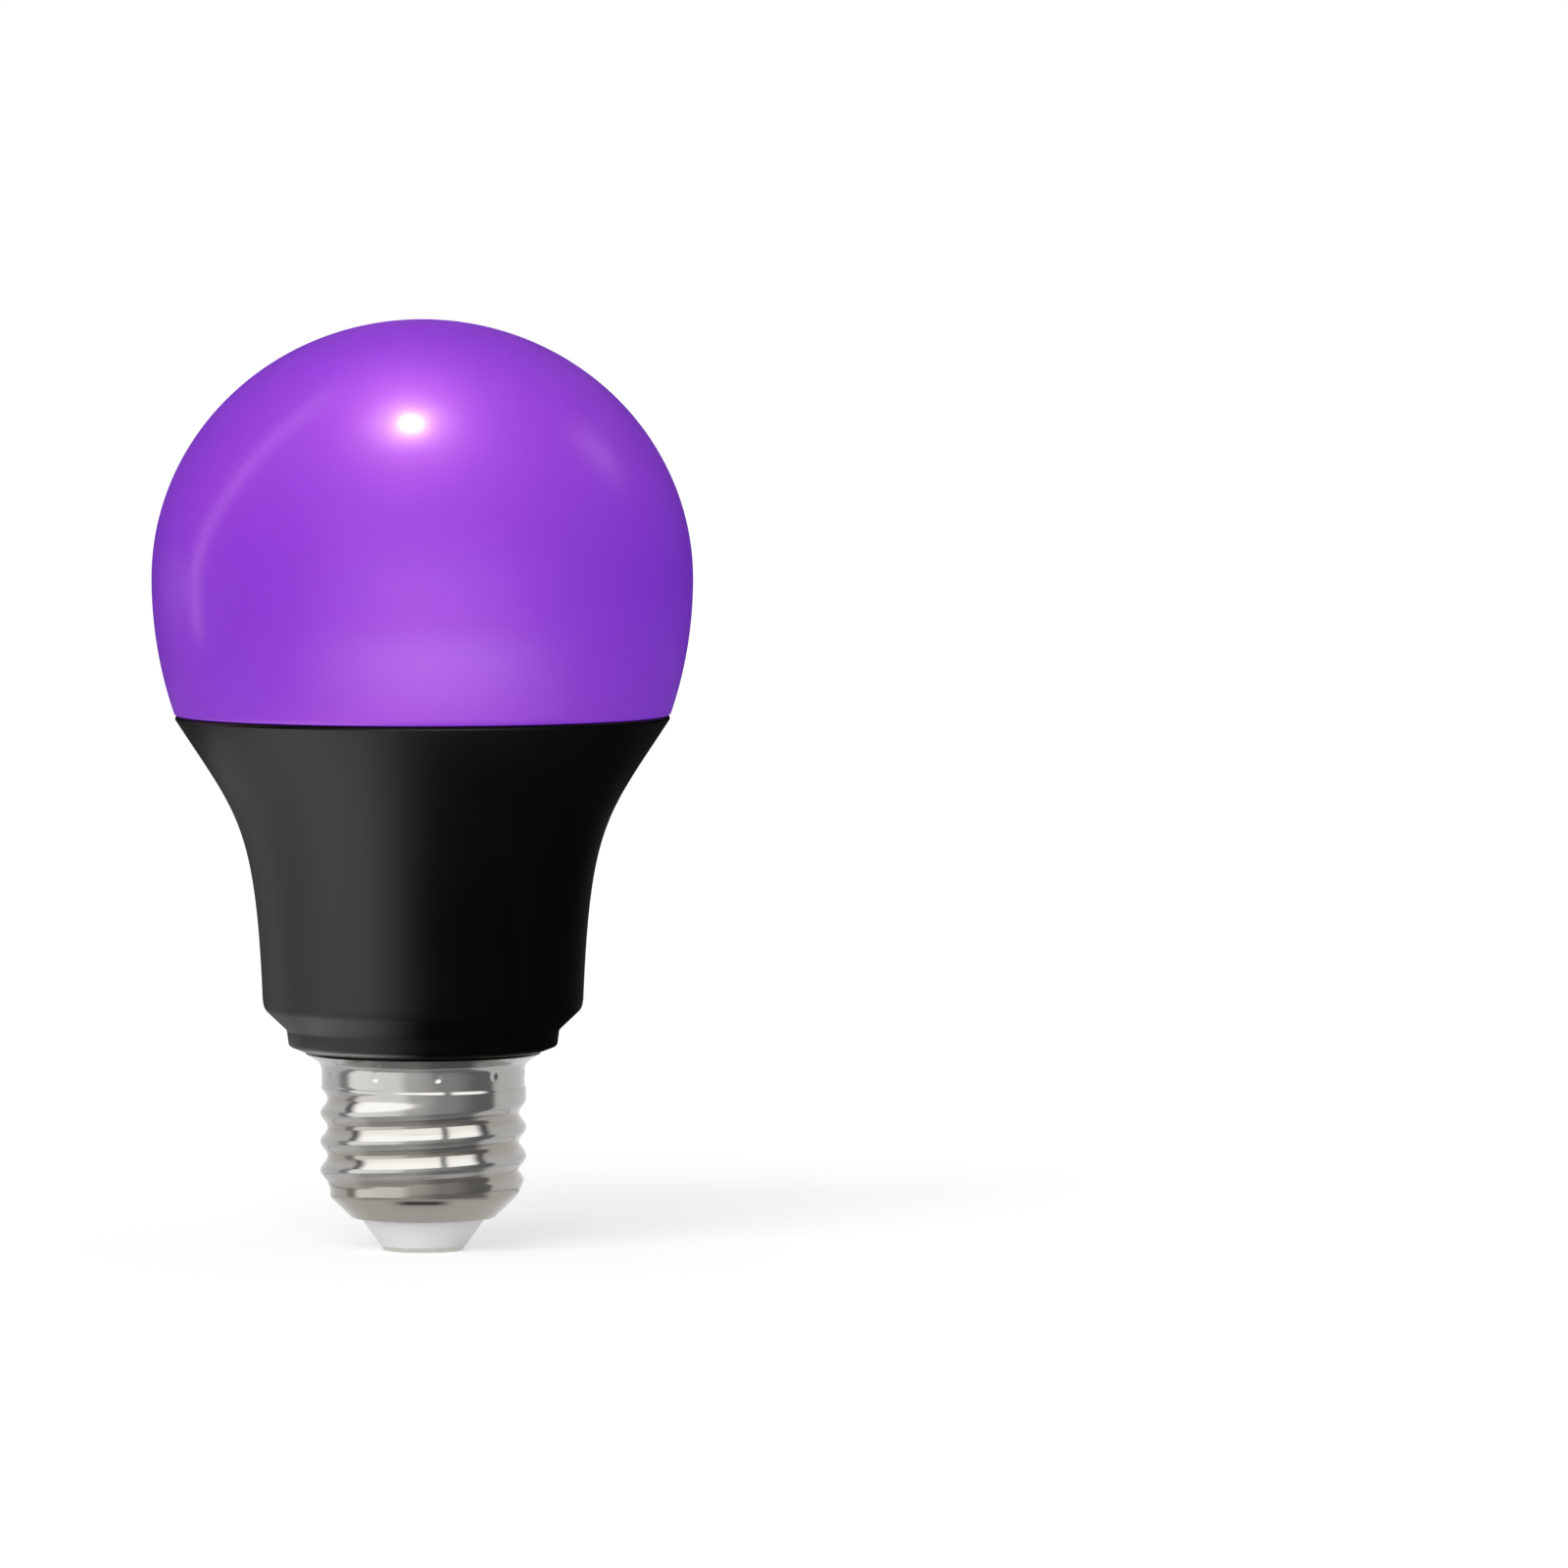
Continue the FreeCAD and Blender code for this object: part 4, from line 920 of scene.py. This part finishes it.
ROUND = (-180, 180)
CUP_REACH = 0.034
CUP_FOOT = 0.001
CUP_TOP = 0.0251
ROOF_EDGE = 0.0154
FOOT_EDGE = 0.006
COLLAR_CARD_Z = CUP_TOP + 0.0001
FENCE_REACH = 0.045
FENCE_TOP = 0.052
FLOOR_EDGE = 0.49
FRONT_GLOW_Z = 2 * LEVEL
FRONT_GLOW_NEAR, FRONT_GLOW_FAR = 0.036, 0.444
PANEL_REACH, PANEL_LOW, PANEL_TOP = 0.42, -0.15, 0.30
LEFT_PANEL_REACH, LEFT_PANEL_TOP = 0.44, 0.14
CARD_DISTANCE = 0.3
PINK = (1.0, 0.55, 0.58, 1)
PATCH_TURN_FULL, PATCH_TURN_END = 12, 34
PATCH_OUT = 13.0
PATCH_OUT_FULL, PATCH_OUT_END = 0.6, 2.0
PATCH_DARKNESS = 0.93
CONE_LIGHT = 0.88
CONE_OUT_FULL, CONE_OUT_END = 14, 18
wall_light = banded(0.9, [
    (-95, -86, -0.50), (-80, -72, 1.20), (-70, -25, -0.20), (-24, -10, -0.60), (-8, 20, -0.35),
    (25, 55, -0.22), (70, 77, 0.72),
])
roof_light = banded(0.9, [
    (-84, -76, -0.8), (-75, -62, 2.2), (16, 19, -2.0), (21, 26, 1.9), (50, 61, -2.1), (63, 70, 0.8),
])
foot_light = banded(0.9, [(-75, -55, -0.3), (-10, 20, -0.3), (60, 75, 0.6)])
housing_light = banded(0.15, [(-130, -90, 0.82), (-80, -50, 1.43), (-32, 4, -2.38), (112, 140, 0.10)])
floor_light = banded(0.08, [(-40, -20, 0.12), (10, 40, -0.16)])


def foot_with_shade(azimuth, out):
    """The light under the cap, with a dark patch in front that shows as an ellipse in the cap's cone."""
    aside = azimuth.alone("ABSOLUTE").step(PATCH_TURN_FULL, PATCH_TURN_END)
    beyond = (out - PATCH_OUT).alone("ABSOLUTE").step(PATCH_OUT_FULL, PATCH_OUT_END)
    patch = (1.0 - aside) * (1.0 - beyond)
    cone = 1.0 - out.step(CONE_OUT_FULL, CONE_OUT_END)
    light = CONE_LIGHT * cone + foot_light(azimuth, out) * (1.0 - cone)
    return light * (1.0 - PATCH_DARKNESS * patch)


for name, low_end, high_end, strength, light in (
    ("cap_wall", (CUP_REACH, CUP_FOOT), (CUP_REACH, CUP_TOP), 1.0, wall_light),
    ("cap_roof", (ROOF_EDGE, CUP_TOP), (CUP_REACH, CUP_TOP), 1.0, roof_light),
    ("cap_foot", (FOOT_EDGE, LEVEL), (CUP_REACH, LEVEL), 1.0, foot_with_shade),
    ("collar_card", (ROOF_EDGE, COLLAR_CARD_Z), (CUP_REACH, COLLAR_CARD_Z), 0.7, housing_light),
    ("housing_fence", (FENCE_REACH, 0.0), (FENCE_REACH, FENCE_TOP), 1.0, housing_light),
    ("floor_card", (CUP_REACH, LEVEL), (FLOOR_EDGE, LEVEL), 1.0, floor_light),
):
    ring_card(name, ROUND, (low_end, high_end), strength, light)
for name, azimuths, low_end, high_end, strength in (
    ("front_glow", (-64, 76), (FRONT_GLOW_NEAR, FRONT_GLOW_Z), (FRONT_GLOW_FAR, FRONT_GLOW_Z), 5.2),
    ("front_panel", (-60, 66), (PANEL_REACH, PANEL_LOW), (PANEL_REACH, PANEL_TOP), 2.0),
    ("left_panel", (-150, -65), (LEFT_PANEL_REACH, 0.0), (LEFT_PANEL_REACH, LEFT_PANEL_TOP), 0.8),
):
    soft_card(name, azimuths, (low_end, high_end), strength)
aimed_card(
    "star_card", spot=(-2, -12, 116), direction=(-0.055, -0.275, 0.96), distance=CARD_DISTANCE,
    half=0.022, strength=540.0, halo=0.035,
)
aimed_card(
    "spot_card", spot=(22, -20, 101), direction=(0.744, 0.339, 0.575), distance=CARD_DISTANCE,
    half=0.085, strength=3.4, colour=PINK,
)
arch_card(
    "streak_card", centre_z=0.0853, radius=0.28, sides=(0.0, 0.11), half=0.026, rises=(-11, 66),
    strength=6.0, colour=PINK,
)


# Camera: far back with a long lens, and looking down on the lamp by three degrees, as in the photograph.
# The picture is 198.8 mm wide at the lamp.
DISTANCE = 1.6
PICTURE_WIDTH = 0.1988
SENSOR_WIDTH = 36.0
NEAREST, FURTHEST = 0.05, 20.0
AIM = Vector((0.0458, 0, 0.0592))
RISE = math.radians(3.0)
camera_data = bpy.data.cameras.new("camera")
camera = bpy.data.objects.new("camera", camera_data)
bpy.context.collection.objects.link(camera)
camera_data.sensor_width = SENSOR_WIDTH
camera_data.lens = SENSOR_WIDTH * DISTANCE / PICTURE_WIDTH
camera_data.clip_start, camera_data.clip_end = NEAREST, FURTHEST
camera.location = AIM + Vector((0, -math.cos(RISE), math.sin(RISE))) * DISTANCE
camera.rotation_euler = (AIM - camera.location).to_track_quat("-Z", "Y").to_euler()
bpy.context.scene.camera = camera
bpy.context.scene.view_settings.view_transform = "Standard"
